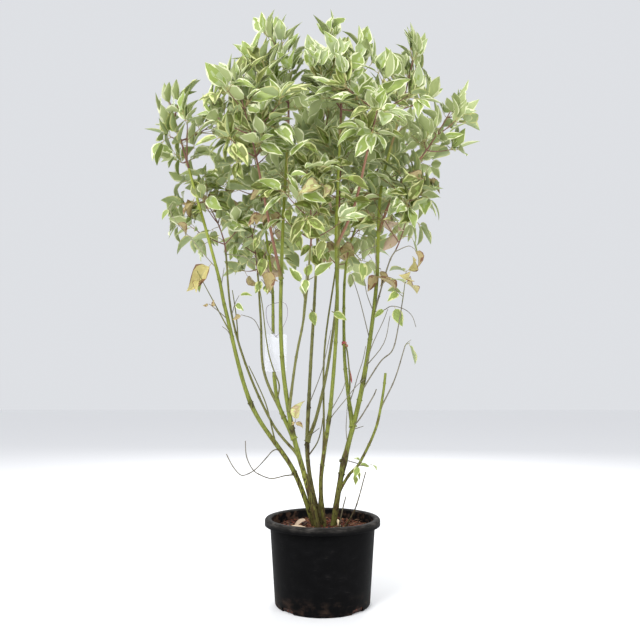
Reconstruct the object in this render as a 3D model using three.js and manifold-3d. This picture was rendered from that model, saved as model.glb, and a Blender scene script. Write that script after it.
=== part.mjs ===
// Potted variegated tatarian dogwood: a shrub of many canes in a round nursery pot.
// Millimetres, +Z up. The origin is the centre of the pot's flat underside.
import * as THREE from 'three';
import { mergeVertices } from 'three/addons/utils/BufferGeometryUtils.js';
import Module from 'manifold-3d';

const wasm = await Module();
wasm.setup();

// Driving dimensions of the pot and of its filling
const RIM_RADIUS = 150;
const POT_HEIGHT = 212;
const LIP_HEIGHT = 18;
const LIP_OVERHANG = 14;
const LIP_THICKNESS = 2.5;
const LIP_HOLLOW = 5;
const LIP_ROUNDING = 4;
const BASE_RADIUS = 122;
const BASE_ROUNDING = 4;
const WALL = 2.5;
const BASE_THICKNESS = 3.5;
const NOTCHES = 4;
const NOTCH_WIDTH = 38;
const NOTCH_HEIGHT = 12;
const NOTCH_DEPTH = 8;
const SOIL_LEVEL = 190;
const SOIL_SHOULDER = 12;
const SOIL_CROWN = 45;
const CLEAR = 0.3;
const GROUND = SOIL_LEVEL + CLEAR;

// Canes and twigs: a foot swells by FLARE of its radius, and dies away as FLARE_LENGTH shares of the limb
const FLARE = 0.3;
const FLARE_FADE = 14;
const ROOTED = 12;
const TWIG = { foot: 2, tip: 1.4, sides: 4 };

// Leaves: WIDTH, WIDEST, DROOP and KEEL are shares of a leaf's length
const LEAF_LENGTH = 94;
const LEAF_WIDTH = 0.54;
const LEAF_WIDEST = 0.42;
const LEAF_FOLD = 2.5;
const LEAF_DROOP = 0.08;
const LEAF_KEEL = 0.12;
const LEAF_THICKNESS = 1.6;
const LEAF_SIZES = [1, 0.85, 0.7];
const LEAF_SPACING = 38;
const LEAF_SPREAD = 1.05;
const LAST_SPREAD = 0.75;
const LAST_SIZE = 0.9;

// Shoots: gaps between nodes and joints, room to the neighbours, and shares of the mass's reach and stem
const NODE_GAP = 46;
const JOINT_GAP = 72;
const SHORTEST_SHOOT = 20;
const LONGEST_SHOOT = 1.3;
const SHORTEN_BY = 8;
const LEADER_RADIUS = 3.5;
const SIDE_RADIUS = 0.75;
const SHOOT_TAPER = 0.4;
const BRANCHED_PART = 0.92;
const ROOM_FOR_LEAF = 0.8;
const MASS_GAP = 2;
const LEAF_TO_LIMB = 3;
const SHOOT_TO_LIMB = 5;

// Tag, its loop, and the red tie
const TAG_WIDTH = 57;
const TAG_HEIGHT = 100;
const TAG_THICKNESS = 0.8;
const TAG_CORNER = 5;
const TAG_X = -123;
const TAG_Y = -31.6;
const TAG_TOP = 688;
const LOOP_HEIGHT = 90;
const LOOP_SIDES = 5;
const STRAND_RADIUS = 0.9;
const TIE_HEIGHT = 670;
const TIE_BAND = 9;
const TIE_THICKNESS = 1.6;
const KNOT_RADIUS = 3.6;
const TAIL_LENGTH = 112;

// Materials
const material = (colour, roughness) => new THREE.MeshStandardMaterial({
  color: new THREE.Color(colour), roughness, metalness: 0,
});
const PLASTIC = material('#1d1e20', 0.55);
const MIX = material('#4a3226', 0.95);
const GREEN_BARK = material('#7f8f3e', 0.6);
const RED_BARK = material('#8a4a3a', 0.6);
const DRY_BARK = material('#8c7458', 0.8);
const FOLIAGE = material('#9db67e', 0.7);
const TAG = material('#eef0f0', 0.5);
const TAG_LOOP = material('#8f8792', 0.5);
const TIE = material('#c2352f', 0.6);

// Solids and booleans
function solid(geometry) {
  const bare = geometry.clone();
  bare.deleteAttribute('normal');
  bare.deleteAttribute('uv');
  const merged = mergeVertices(bare, 1e-4);
  return new wasm.Manifold(new wasm.Mesh({
    numProp: 3,
    vertProperties: merged.attributes.position.array,
    triVerts: new Uint32Array(merged.index.array),
  }));
}

// The largest body of a solid: loose scraps and sealed hollows are left behind.
function largest(made) {
  return made.decompose().reduce((a, b) => (b.volume() > a.volume() ? b : a));
}

function geometryOf(made) {
  const mesh = made.getMesh();
  const geometry = new THREE.BufferGeometry();
  geometry.setAttribute('position', new THREE.BufferAttribute(new Float32Array(mesh.vertProperties), 3));
  geometry.setIndex(new THREE.BufferAttribute(new Uint32Array(mesh.triVerts), 1));
  const faceted = geometry.toNonIndexed();
  faceted.computeVertexNormals();
  return faceted;
}

const plant = new THREE.Group();

function add(name, geometry, finish) {
  const mesh = new THREE.Mesh(geometry, finish);
  mesh.name = name;
  plant.add(mesh);
}

// Pot: a thin tapered wall with a rolled lip, open at the top, notched at its bottom corner
function potProfile() {
  const wallTop = RIM_RADIUS - LIP_OVERHANG;
  const lipFoot = POT_HEIGHT - LIP_HEIGHT;
  return [
    [0, 0],
    [BASE_RADIUS - BASE_ROUNDING, 0],
    [BASE_RADIUS, BASE_ROUNDING],
    [wallTop, lipFoot + LIP_HOLLOW],
    [RIM_RADIUS - LIP_THICKNESS, lipFoot + LIP_HOLLOW],
    [RIM_RADIUS - LIP_THICKNESS, lipFoot],
    [RIM_RADIUS, lipFoot],
    [RIM_RADIUS, POT_HEIGHT - LIP_ROUNDING],
    [RIM_RADIUS - LIP_ROUNDING, POT_HEIGHT],
    [RIM_RADIUS - 2 * LIP_ROUNDING, POT_HEIGHT - 1],
    [wallTop - WALL, POT_HEIGHT - 2 * LIP_ROUNDING],
    [BASE_RADIUS - WALL, BASE_THICKNESS],
    [0, BASE_THICKNESS],
  ];
}

function turned(profile, segments) {
  const points = profile.map(([radius, height]) => new THREE.Vector2(radius, height));
  const shape = new THREE.LatheGeometry(points, segments);
  return shape.rotateX(Math.PI / 2);
}

function pot() {
  let shell = solid(turned(potProfile(), 36));
  for (let k = 0; k < NOTCHES; k += 1) {
    const notch = new THREE.BoxGeometry(2 * NOTCH_DEPTH, NOTCH_WIDTH, 2 * NOTCH_HEIGHT);
    notch.translate(BASE_RADIUS, 0, 0);
    notch.rotateZ((k + 0.5) * Math.PI * 2 / NOTCHES);
    shell = shell.subtract(solid(notch));
  }
  return geometryOf(largest(shell));
}

// Potting mix: fills the pot to a little under its rim, 0.3 mm clear of the wall
function mixProfile() {
  const foot = BASE_RADIUS - WALL - 2 * CLEAR;
  const slope = (RIM_RADIUS - LIP_OVERHANG - BASE_RADIUS) / POT_HEIGHT;
  const brim = SOIL_LEVEL - SOIL_SHOULDER;
  const edge = foot + slope * brim - CLEAR;
  return [
    [0, BASE_THICKNESS + CLEAR],
    [foot, BASE_THICKNESS + CLEAR],
    [edge, brim],
    [edge - SOIL_SHOULDER, SOIL_LEVEL - SOIL_SHOULDER / 3],
    [edge - SOIL_CROWN, SOIL_LEVEL],
    [0, SOIL_LEVEL],
  ];
}

// Limbs: a unit cylinder bent along a smooth route, tapering from foot to tip
const vector = (p) => new THREE.Vector3(...p);

function frameAt(path, t) {
  const ends = [path.getPoint(0), path.getPoint(1)];
  const chord = ends[1].clone().sub(ends[0]).normalize();
  const ahead = path.getPoint(Math.min(1, t + 0.001));
  const tangent = ahead.sub(path.getPoint(Math.max(0, t - 0.001))).normalize();
  const reference = Math.abs(chord.z) > 0.7 ? new THREE.Vector3(0, 1, 0) : new THREE.Vector3(0, 0, 1);
  const across = new THREE.Vector3().crossVectors(tangent, reference).normalize();
  const over = new THREE.Vector3().crossVectors(across, tangent);
  return { tangent, across, over };
}

function bent(path, sides, steps, radiusAt) {
  const tube = new THREE.CylinderGeometry(1, 1, 1, sides, steps);
  const corner = tube.attributes.position;
  for (let i = 0; i < corner.count; i += 1) {
    const t = corner.getY(i) + 0.5;
    const { across, over } = frameAt(path, t);
    const radius = radiusAt(t);
    const place = path.getPoint(t);
    place.addScaledVector(across, corner.getX(i) * radius);
    place.addScaledVector(over, corner.getZ(i) * radius);
    corner.setXYZ(i, place.x, place.y, place.z);
  }
  return solid(tube);
}

const limbs = {};

function limb(name, { from, at = 0, route, foot, tip, sides = 6, steps = 6, bark = GREEN_BARK }) {
  const parent = limbs[from];
  const points = route.map(vector);
  if (parent) points.unshift(parent.path.getPoint(at));
  else points.unshift(points[0].clone().setZ(GROUND - ROOTED));
  const path = new THREE.CatmullRomCurve3(points, false, 'catmullrom', 0.5);
  const radiusAt = (t) => (foot + (tip - foot) * t) * (1 + FLARE * Math.exp(-FLARE_FADE * t));
  const shape = (extra) => bent(path, sides, steps, (t) => radiusAt(t) + extra);
  let made = shape(0);
  if (parent) {
    made = made.subtract(parent.shape(CLEAR));
  } else {
    const below = new THREE.BoxGeometry(2 * RIM_RADIUS, 2 * RIM_RADIUS, 4 * ROOTED);
    made = made.subtract(solid(below.translate(0, 0, GROUND - 2 * ROOTED)));
  }
  limbs[name] = { path, radiusAt, shape };
  add(name, geometryOf(largest(made)), bark);
}

// Foliage masses: each keeps to a ball, and to its own side of the plane where two balls meet
const masses = {};

function seeded(seed) {
  let state = seed * 7919 + 13;
  return (low = 0, high = 1) => {
    state = (state * 16807) % 2147483647;
    return low + (high - low) * (state / 2147483647);
  };
}

function inSpace(mass, p, margin) {
  const own = p.distanceToSquared(mass.centre) - mass.reach ** 2;
  if (p.distanceTo(mass.centre) > mass.reach - margin) return false;
  return Object.values(masses).every((other) => {
    if (other === mass) return true;
    const theirs = p.distanceToSquared(other.centre) - other.reach ** 2;
    const between = 2 * other.centre.distanceTo(mass.centre);
    return (theirs - own) / between > margin;
  });
}

// Beads along every limb, which leaves and shoots keep clear of
const limbBeads = [];

function clearOfLimbs(p, margin) {
  return limbBeads.every((bead) => p.distanceTo(bead.centre) > bead.radius + margin);
}

// A leaf is a blade of six faces: its root and keel below, its two wide corners and its drooping tip
function leafSolid(root, along, up, length) {
  const side = new THREE.Vector3().crossVectors(up, along).normalize();
  const normal = new THREE.Vector3().crossVectors(along, side);
  const half = LEAF_WIDTH * length / 2;
  const corners = [
    [0, 0, 0],
    [LEAF_WIDEST * length, half, LEAF_FOLD],
    [LEAF_WIDEST * length, -half, LEAF_FOLD],
    [length, 0, -LEAF_DROOP * length],
    [LEAF_KEEL * length, 0, -LEAF_THICKNESS],
  ].map(([forward, sideways, lift]) => root.clone()
    .addScaledVector(along, forward).addScaledVector(side, sideways).addScaledVector(normal, lift));
  const faces = [0, 2, 1, 3, 1, 2, 0, 1, 4, 4, 1, 3, 3, 2, 4, 4, 2, 0];
  const blade = new THREE.BufferGeometry().setFromPoints(faces.map((k) => corners[k]));
  return solid(blade);
}

function leafFits(mass, root, along, up, length) {
  const heart = root.clone().addScaledVector(along, LEAF_WIDEST * length);
  if (mass.hearts.some((other) => other.distanceTo(heart) < LEAF_SPACING * mass.leaf)) return false;
  const side = new THREE.Vector3().crossVectors(up, along).normalize();
  for (const forward of [0.2, LEAF_WIDEST, 0.65, 0.85, 1]) {
    const narrowing = Math.min(forward / LEAF_WIDEST, (1 - forward) / (1 - LEAF_WIDEST));
    const half = LEAF_WIDTH * length / 2 * narrowing;
    const middle = root.clone().addScaledVector(along, forward * length);
    if (!clearOfLimbs(middle, half + LEAF_TO_LIMB)) return false;
    for (const edge of [-1, 1]) {
      const place = middle.clone().addScaledVector(side, edge * half);
      if (!inSpace(mass, place, MASS_GAP)) return false;
    }
  }
  return true;
}

// The direction out of a stem on one side or the other, turned about the stem
function outwardOf(across, over, turn, handed) {
  const outward = across.clone().multiplyScalar(handed * Math.cos(turn));
  return outward.addScaledVector(over, handed * Math.sin(turn));
}

// Two leaves, opposite each other, at one place on a shoot
function leafPair(mass, body, path, t, turn, spread, size, random) {
  const { tangent, across, over } = frameAt(path, t);
  let made = body;
  for (const handed of [-1, 1]) {
    const outward = outwardOf(across, over, turn, handed);
    const angle = spread * random(0.9, 1.15);
    const along = tangent.clone().multiplyScalar(Math.cos(angle)).addScaledVector(outward, Math.sin(angle));
    along.z -= random(0.1, 0.5) * (1 - Math.max(0, tangent.z));
    along.normalize();
    const up = new THREE.Vector3(random(-0.35, 0.35), random(-0.35, 0.35), 1);
    up.addScaledVector(tangent, -0.6 * tangent.z);
    up.addScaledVector(along, -up.dot(along)).normalize();
    const root = path.getPoint(t);
    const full = LEAF_LENGTH * mass.leaf * size * random(0.9, 1.1);
    const share = LEAF_SIZES.find((tried) => leafFits(mass, root, along, up, tried * full));
    if (share) {
      mass.hearts.push(root.clone().addScaledVector(along, LEAF_WIDEST * share * full));
      made = made.add(leafSolid(root, along, up, share * full));
    }
  }
  return made;
}

// A shoot: a three-sided twig with a leaf pair at each node and a last pair near its end
function shoot(mass, path, radius, random) {
  const length = path.getLength();
  const nodes = Math.max(0, Math.floor(length / (NODE_GAP * mass.leaf) - 0.4));
  let made = bent(path, 3, path.isLineCurve3 ? 1 : 3, (t) => radius * (1 - SHOOT_TAPER * t));
  let turn = random(0, Math.PI);
  for (let k = 1; k <= nodes; k += 1) {
    made = leafPair(mass, made, path, (k - 0.1) / (nodes + 1), turn, LEAF_SPREAD, 1, random);
    turn += Math.PI / 2;
  }
  return leafPair(mass, made, path, 1 - 4 / length, turn, LAST_SPREAD, LAST_SIZE, random);
}

// A side shoot is as long as the space beyond its end still holds a leaf
function sideShoot(mass, origin, direction, longest) {
  for (let length = longest; length > SHORTEST_SHOOT * mass.leaf; length -= SHORTEN_BY) {
    const path = new THREE.LineCurve3(origin, origin.clone().addScaledVector(direction, length));
    const beyond = path.v2.clone().addScaledVector(direction, ROOM_FOR_LEAF * LEAF_LENGTH * mass.leaf);
    const clear = [0.3, 0.5, 0.7, 0.85, 1].every((t) => clearOfLimbs(path.getPoint(t), SHOOT_TO_LIMB));
    if (clear && inSpace(mass, beyond, MASS_GAP)) return path;
  }
  return null;
}

// A mass: a leader that grows on from its bough's tip, or from the side of a cane, and pairs of side shoots
function foliage(name, { bough, at = 1, top, seed }) {
  const mass = masses[name];
  const random = seeded(seed);
  const stem = limbs[bough];
  const { tangent } = frameAt(stem.path, at);
  const start = stem.path.getPoint(at).addScaledVector(tangent, at < 1 ? 0 : CLEAR);
  const summit = vector(top);
  const length = start.distanceTo(summit);
  const knee = start.clone().lerp(summit, 0.5);
  if (at === 1) knee.copy(start).addScaledVector(tangent, 0.4 * length);
  const leader = new THREE.QuadraticBezierCurve3(start, knee, summit);
  const radius = Math.min(stem.radiusAt(at), LEADER_RADIUS * mass.leaf);
  let made = shoot(mass, leader, radius, random);
  const joints = Math.round(length / (JOINT_GAP * mass.leaf));
  let turn = random(0, Math.PI);
  for (let k = 0; k < joints; k += 1) {
    const t = (k + 0.4) / joints * BRANCHED_PART;
    const { tangent: ahead, across, over } = frameAt(leader, t);
    for (const handed of [-1, 1]) {
      const spread = random(0.95, 1.3);
      const direction = ahead.clone().multiplyScalar(Math.cos(spread));
      direction.addScaledVector(outwardOf(across, over, turn, handed), Math.sin(spread));
      direction.z += 0.15;
      direction.normalize();
      const longest = LONGEST_SHOOT * mass.reach * random(0.8, 1);
      const path = sideShoot(mass, leader.getPoint(t), direction, longest);
      if (path) made = made.add(shoot(mass, path, SIDE_RADIUS * radius, random));
    }
    turn += Math.PI / 2 + random(-0.2, 0.2);
  }
  if (at < 1) made = made.subtract(stem.shape(CLEAR));
  add(name, geometryOf(largest(made)), FOLIAGE);
}

add('pot', pot(), PLASTIC);
add('potting_mix', turned(mixProfile(), 32), MIX);

// Canes that rise from the soil
limb('cane_left', {
  route: [
    [-22, -8, GROUND], [-77, -20, 335], [-187, -35, 505],
    [-255, -45, 745], [-282, -45, 860], [-364, -45, 1140],
  ],
  foot: 7.5, tip: 3.5, sides: 7, steps: 14,
});
limb('cane_front_left', {
  route: [
    [-12, -26, GROUND], [-43, -32, 310], [-81, -52, 453],
    [-106, -80, 655], [-105, -90, 915], [-92, -80, 1240],
  ],
  foot: 8.5, tip: 3.5, sides: 7, steps: 14,
});
limb('cane_back', {
  route: [[-5, 14, GROUND], [-39, 32, 350], [-36, 60, 540], [-21, 120, 835], [-6, 200, 1190]],
  foot: 7, tip: 3.5, sides: 6, steps: 13,
});
limb('cane_front', {
  route: [[5, -7, GROUND], [-4, -22, 310], [22, -50, 510], [38, -75, 745], [36, -85, 960], [50, -80, 1270]],
  foot: 6.5, tip: 3.5, sides: 6, steps: 13,
});
limb('cane_right', {
  route: [
    [28, -2, GROUND], [54, -10, 343], [105, -25, 550],
    [143, -35, 805], [160, -35, 1080], [213, -35, 1290],
  ],
  foot: 9, tip: 3.2, sides: 7, steps: 14,
});
limb('cane_back_thin', {
  route: [[14, 14, GROUND], [3, 30, 400], [6, 75, 650], [40, 160, 900]],
  foot: 3.2, tip: 2.5, sides: 5, steps: 8,
});

// Canes that fork from those, low down
limb('cane_back_left', {
  from: 'cane_front_left', at: 0.46,
  route: [
    [-115, -35, 505], [-129, -24, 600], [-133, -8, 710],
    [-140, 40, 830], [-160, 110, 960], [-185, 180, 1120],
  ],
  foot: 5.5, tip: 3, steps: 13,
});
limb('cane_far_left', {
  from: 'cane_back_left', at: 0.1,
  route: [[-158, 15, 590], [-175, 80, 740], [-192, 150, 885]],
  foot: 4.2, tip: 2.8, sides: 5, steps: 8,
});
limb('cane_left_thin', {
  from: 'cane_front_left', at: 0.41,
  route: [[-131, -10, 451], [-202, 12, 595], [-250, 20, 750], [-268, 15, 920]],
  foot: 3.6, tip: 2.6, sides: 5, steps: 9,
});
limb('cane_front_thin', {
  from: 'cane_front_left', at: 0.53,
  route: [[-68, -92, 616], [-46, -120, 730], [-30, -155, 895]],
  foot: 3.6, tip: 2.6, sides: 5, steps: 7,
});
limb('cane_middle', {
  from: 'cane_back', at: 0.46,
  route: [[-13, 40, 480], [18, 35, 624], [41, 25, 815], [48, 15, 1050]],
  foot: 5, tip: 2.8, steps: 9,
});
limb('cane_back_right', {
  from: 'cane_right', at: 0.42,
  route: [[70, 10, 525], [61, 60, 665], [72, 140, 920], [130, 200, 1120]],
  foot: 6, tip: 3, steps: 10,
});
limb('cane_right_thin', {
  from: 'cane_right', at: 0.18,
  route: [[95, -24, 350], [137, -45, 440], [155, -60, 525], [162, -70, 583]],
  foot: 4, tip: 3.2, sides: 5, steps: 8,
});

// Boughs inside the crown
limb('bough_front_left', {
  from: 'cane_front_left', at: 0.78,
  route: [[-135, -150, 960], [-160, -200, 1090]],
  foot: 4, tip: 2.8, steps: 4, bark: RED_BARK,
});
limb('bough_front_right', {
  from: 'cane_front', at: 0.8,
  route: [[80, -160, 1000], [110, -215, 1120]],
  foot: 4, tip: 2.8, steps: 4, bark: RED_BARK,
});
limb('bough_right_low', {
  from: 'cane_right', at: 0.62,
  route: [[175, -50, 870], [195, -60, 910]],
  foot: 3.5, tip: 2.8, steps: 3, bark: RED_BARK,
});
limb('bough_right', {
  from: 'cane_right', at: 0.76,
  route: [[195, -40, 1070], [275, -35, 1180]],
  foot: 4, tip: 2.8, steps: 4, bark: RED_BARK,
});

// Bare and nearly bare twigs, low down
limb('twig_low_left', {
  ...TWIG, bark: DRY_BARK, from: 'cane_front_left', at: 0.37, steps: 7,
  route: [[-122, -60, 390], [-148, -75, 364], [-203, -95, 333], [-239, -100, 381]],
});
limb('twig_low_front', {
  ...TWIG, bark: DRY_BARK, from: 'cane_front_left', at: 0.27, steps: 7,
  route: [[-87, -45, 322], [-121, -70, 320], [-166, -90, 341], [-193, -95, 413]],
});
limb('twig_right', {
  ...TWIG, bark: DRY_BARK, from: 'cane_right_thin', at: 0.72, steps: 4,
  route: [[185, -70, 566], [212, -75, 650]],
});
limb('twig_right_high', {
  ...TWIG, bark: DRY_BARK, from: 'cane_right', at: 0.49, steps: 6,
  route: [[150, -55, 612], [180, -80, 642], [195, -92, 705], [205, -98, 765]],
});
limb('twig_middle', {
  ...TWIG, bark: DRY_BARK, from: 'cane_right', at: 0.36, steps: 3,
  route: [[114, -45, 494], [139, -60, 542]],
});
limb('twig_tied', {
  ...TWIG, bark: DRY_BARK, from: 'cane_back_right', at: 0.25, steps: 4,
  route: [[80, 28, 560], [76, 44, 630], [70, 54, 661]],
});
limb('twig_soil_right', {
  ...TWIG, bark: DRY_BARK, steps: 6, foot: 2.2,
  route: [[57, -20, GROUND], [76, -25, 221], [90, -31, 255], [111, -40, 331]],
});
limb('twig_soil_middle', {
  ...TWIG, bark: DRY_BARK, steps: 3, foot: 2.4,
  route: [[42, -22, GROUND], [51, -26, 233], [60, -30, 268]],
});

// The crown, the skirt under it and the low sprigs: each ball's centre and reach, and its leader's top
const MASSES = {
  crown_left: {
    bough: 'cane_left',
    centre: [-350, -30, 1252], reach: 150, top: [-428, -45, 1350],
  },
  crown_top_left: {
    bough: 'cane_front_left',
    centre: [-128, -60, 1388], reach: 178, top: [-112, -70, 1498],
  },
  crown_top: {
    bough: 'cane_front',
    centre: [26, -60, 1392], reach: 175, top: [34, -60, 1512],
  },
  crown_top_right: {
    bough: 'cane_right',
    centre: [243, -30, 1402], reach: 150, top: [256, -35, 1462],
  },
  crown_right: {
    bough: 'bough_right',
    centre: [335, -30, 1285], reach: 125, top: [375, -35, 1345],
  },
  crown_front_left: {
    bough: 'bough_front_left',
    centre: [-185, -240, 1195], reach: 170, top: [-205, -265, 1265],
  },
  crown_front_right: {
    bough: 'bough_front_right',
    centre: [120, -260, 1190], reach: 175, top: [145, -285, 1262],
  },
  crown_back_left: {
    bough: 'cane_back_left',
    centre: [-210, 220, 1280], reach: 180, top: [-240, 240, 1390],
  },
  crown_back: {
    bough: 'cane_back',
    centre: [10, 240, 1370], reach: 185, top: [10, 240, 1480],
  },
  crown_back_right: {
    bough: 'cane_back_right',
    centre: [230, 220, 1270], reach: 180, top: [255, 230, 1380],
  },
  crown_heart: {
    bough: 'cane_middle',
    centre: [40, 10, 1210], reach: 150, top: [50, 10, 1260],
  },
  skirt_left: {
    bough: 'cane_left_thin',
    centre: [-322, 20, 1050], reach: 150, top: [-372, 30, 1130],
  },
  skirt_back_left: {
    bough: 'cane_far_left',
    centre: [-200, 190, 1010], reach: 160, top: [-230, 220, 1080],
  },
  skirt_front: {
    bough: 'cane_front_thin',
    centre: [-40, -190, 1010], reach: 165, top: [-40, -200, 1070],
  },
  skirt_right: {
    bough: 'bough_right_low',
    centre: [200, -50, 1045], reach: 145, top: [240, -60, 1105],
  },
  skirt_back: {
    bough: 'cane_back_thin',
    centre: [80, 190, 1020], reach: 165, top: [90, 200, 1090],
  },
  sprig_front: {
    bough: 'cane_front_thin', at: 0.6,
    centre: [-45, -150, 838], reach: 78, top: [-38, -190, 842], leaf: 0.65,
  },
  sprig_left: {
    bough: 'cane_left', at: 0.62,
    centre: [-338, -70, 852], reach: 62, top: [-332, -70, 855], leaf: 0.6,
  },
  sprig_right: {
    bough: 'twig_right',
    centre: [235, -80, 660], reach: 62, top: [228, -80, 668], leaf: 0.6,
  },
  sprig_right_high: {
    bough: 'twig_right_high',
    centre: [215, -100, 822], reach: 76, top: [215, -105, 845], leaf: 0.65,
  },
  sprig_low: {
    bough: 'cane_right_thin', at: 0.27,
    centre: [105, -72, 355], reach: 55, top: [100, -65, 358], leaf: 0.4,
  },
};

Object.entries(MASSES).forEach(([name, { centre, reach, leaf = 1 }]) => {
  masses[name] = { centre: vector(centre), reach, leaf, hearts: [] };
});
for (const { path, radiusAt } of Object.values(limbs)) {
  for (let t = 0; t < 0.985; t += 0.0125) {
    limbBeads.push({ centre: path.getPoint(t), radius: radiusAt(t) });
  }
}
Object.entries(MASSES).forEach(([name, mass], k) => foliage(name, { ...mass, seed: k + 1 }));

// Place and radius of a limb at a height
function atHeight(name, height) {
  const { path, radiusAt } = limbs[name];
  let t = 0;
  while (t < 1 && path.getPoint(t).z < height) t += 0.002;
  return { centre: path.getPoint(t), radius: radiusAt(t), tangent: frameAt(path, t).tangent };
}

// Bare tag: a thin plate that hangs from its loop and leans on the cane behind it
function tag() {
  const corner = TAG_CORNER;
  const [left, right] = [TAG_X - TAG_WIDTH / 2, TAG_X + TAG_WIDTH / 2];
  const [low, high] = [TAG_TOP - TAG_HEIGHT, TAG_TOP];
  const outline = new THREE.Shape();
  outline.moveTo(left + corner, low);
  outline.lineTo(right - corner, low);
  outline.absarc(right - corner, low + corner, corner, -Math.PI / 2, 0);
  outline.lineTo(right, high - corner);
  outline.absarc(right - corner, high - corner, corner, 0, Math.PI / 2);
  outline.lineTo(left + corner, high);
  outline.absarc(left + corner, high - corner, corner, Math.PI / 2, Math.PI);
  outline.lineTo(left, low + corner);
  outline.absarc(left + corner, low + corner, corner, Math.PI, Math.PI * 1.5);
  const plate = new THREE.ExtrudeGeometry(outline, {
    depth: TAG_THICKNESS, bevelEnabled: false, curveSegments: 2,
  });
  return plate.rotateX(Math.PI / 2).translate(0, TAG_Y, 0);
}

// The tag's loop: a thin round strand from one side of the tag's top, behind the cane, to the other side
function tagLoop() {
  const held = atHeight('cane_back_left', TAG_TOP + LOOP_HEIGHT);
  const behind = held.centre.y + (held.radius + 2 * STRAND_RADIUS + 3 * CLEAR) / held.tangent.z;
  const foot = TAG_TOP + CLEAR;
  const front = TAG_Y - TAG_THICKNESS / 2;
  const path = new THREE.CatmullRomCurve3([
    new THREE.Vector3(TAG_X - 8, front, foot),
    new THREE.Vector3(TAG_X - 23, front - 2, foot + 35),
    new THREE.Vector3(TAG_X - 27, front + 12, foot + 72),
    new THREE.Vector3(held.centre.x, behind, TAG_TOP + LOOP_HEIGHT),
    new THREE.Vector3(TAG_X + 22, front + 22, foot + 86),
    new THREE.Vector3(TAG_X + 29, front + 3, foot + 48),
    new THREE.Vector3(TAG_X + 8, front, foot),
  ], false, 'centripetal');
  const section = new THREE.Shape();
  section.moveTo(STRAND_RADIUS, 0);
  for (let k = 1; k < LOOP_SIDES; k += 1) {
    const angle = k * Math.PI * 2 / LOOP_SIDES;
    section.lineTo(STRAND_RADIUS * Math.cos(angle), STRAND_RADIUS * Math.sin(angle));
  }
  return new THREE.ExtrudeGeometry(section, { steps: 24, extrudePath: path, bevelEnabled: false });
}

// Red tie: a band round the cane, its knot on the right, and a thin tail that hangs from the knot
function tie() {
  const { centre, radius, tangent } = atHeight('cane_back_right', TIE_HEIGHT);
  const inner = radius + CLEAR;
  const outer = inner + TIE_THICKNESS;
  const half = TIE_BAND / 2;
  const band = turned([[inner, -half], [outer, -half], [outer, half], [inner, half], [inner, -half]], 10);
  const upright = new THREE.Quaternion().setFromUnitVectors(new THREE.Vector3(0, 0, 1), tangent);
  band.applyQuaternion(upright).translate(...centre.toArray());
  const knotPlace = centre.clone().add(new THREE.Vector3(outer + 1.5, -1, 0));
  const knot = new THREE.SphereGeometry(KNOT_RADIUS, 6, 4).translate(...knotPlace.toArray());
  const tailPath = new THREE.QuadraticBezierCurve3(
    knotPlace,
    knotPlace.clone().add(new THREE.Vector3(12, -2, -25)),
    knotPlace.clone().add(new THREE.Vector3(13, -3, -TAIL_LENGTH)),
  );
  const tail = bent(tailPath, 4, 5, (t) => 1 + 1.6 * t * t);
  return geometryOf(largest(solid(band).add(solid(knot)).add(tail)));
}

add('tag', tag(), TAG);
add('tag_loop', tagLoop(), TAG_LOOP);
add('tie', tie(), TIE);

export default plant;
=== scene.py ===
"""Looks of a potted variegated dogwood: bark, twigs, leaves, pot and bark mix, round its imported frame."""
import math
from collections import namedtuple
from functools import cache

import bmesh
import bpy
import numpy as np
from bpy.props import FloatProperty, FloatVectorProperty, IntProperty, PointerProperty
from bpy.types import Operator, Panel, PropertyGroup
from mathutils import Matrix, Vector, noise
from mathutils.kdtree import KDTree


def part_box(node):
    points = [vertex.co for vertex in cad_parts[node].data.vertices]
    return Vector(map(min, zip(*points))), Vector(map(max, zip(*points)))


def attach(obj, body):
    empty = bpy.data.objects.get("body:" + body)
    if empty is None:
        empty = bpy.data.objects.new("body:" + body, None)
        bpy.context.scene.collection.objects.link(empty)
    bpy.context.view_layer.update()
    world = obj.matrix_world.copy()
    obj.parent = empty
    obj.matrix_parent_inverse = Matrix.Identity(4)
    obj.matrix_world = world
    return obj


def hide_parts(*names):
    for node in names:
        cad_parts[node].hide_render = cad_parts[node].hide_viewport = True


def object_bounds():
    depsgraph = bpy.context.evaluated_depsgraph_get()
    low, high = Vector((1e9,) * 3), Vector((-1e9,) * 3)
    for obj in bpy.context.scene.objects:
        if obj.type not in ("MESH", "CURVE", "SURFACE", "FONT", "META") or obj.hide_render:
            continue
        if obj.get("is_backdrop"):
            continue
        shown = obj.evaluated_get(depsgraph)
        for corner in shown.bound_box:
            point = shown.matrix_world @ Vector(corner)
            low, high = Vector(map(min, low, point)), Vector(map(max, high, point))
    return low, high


bl_info = {
    "name": "Potted variegated dogwood",
    "version": (1, 0, 0),
    "blender": (4, 5, 0),
    "location": "3D View > Sidebar > Dogwood",
    "description": "Dresses a potted shrub's frame with bark, cream-edged leaves, a black pot and bark mix",
    "category": "Add Mesh",
}

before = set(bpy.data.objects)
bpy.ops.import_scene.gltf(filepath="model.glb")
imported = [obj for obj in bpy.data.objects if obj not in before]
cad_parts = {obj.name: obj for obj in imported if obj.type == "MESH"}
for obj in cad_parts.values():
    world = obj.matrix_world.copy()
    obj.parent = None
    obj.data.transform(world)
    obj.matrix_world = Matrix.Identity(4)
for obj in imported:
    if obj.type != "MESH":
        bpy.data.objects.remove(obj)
CAD_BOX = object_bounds()
MM = 0.001
ROOT = "root"

# The frame's own sizes in millimetres, the gap between its solids, and how deep the canes stand in the mix
POT_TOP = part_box("pot")[1] / MM
RIM_RADIUS, POT_HEIGHT = POT_TOP.x, POT_TOP.z
SOIL_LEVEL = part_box("potting_mix")[1].z / MM
CLEAR = 0.3
GROUND = SOIL_LEVEL + CLEAR
ROOTED = 12

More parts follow.
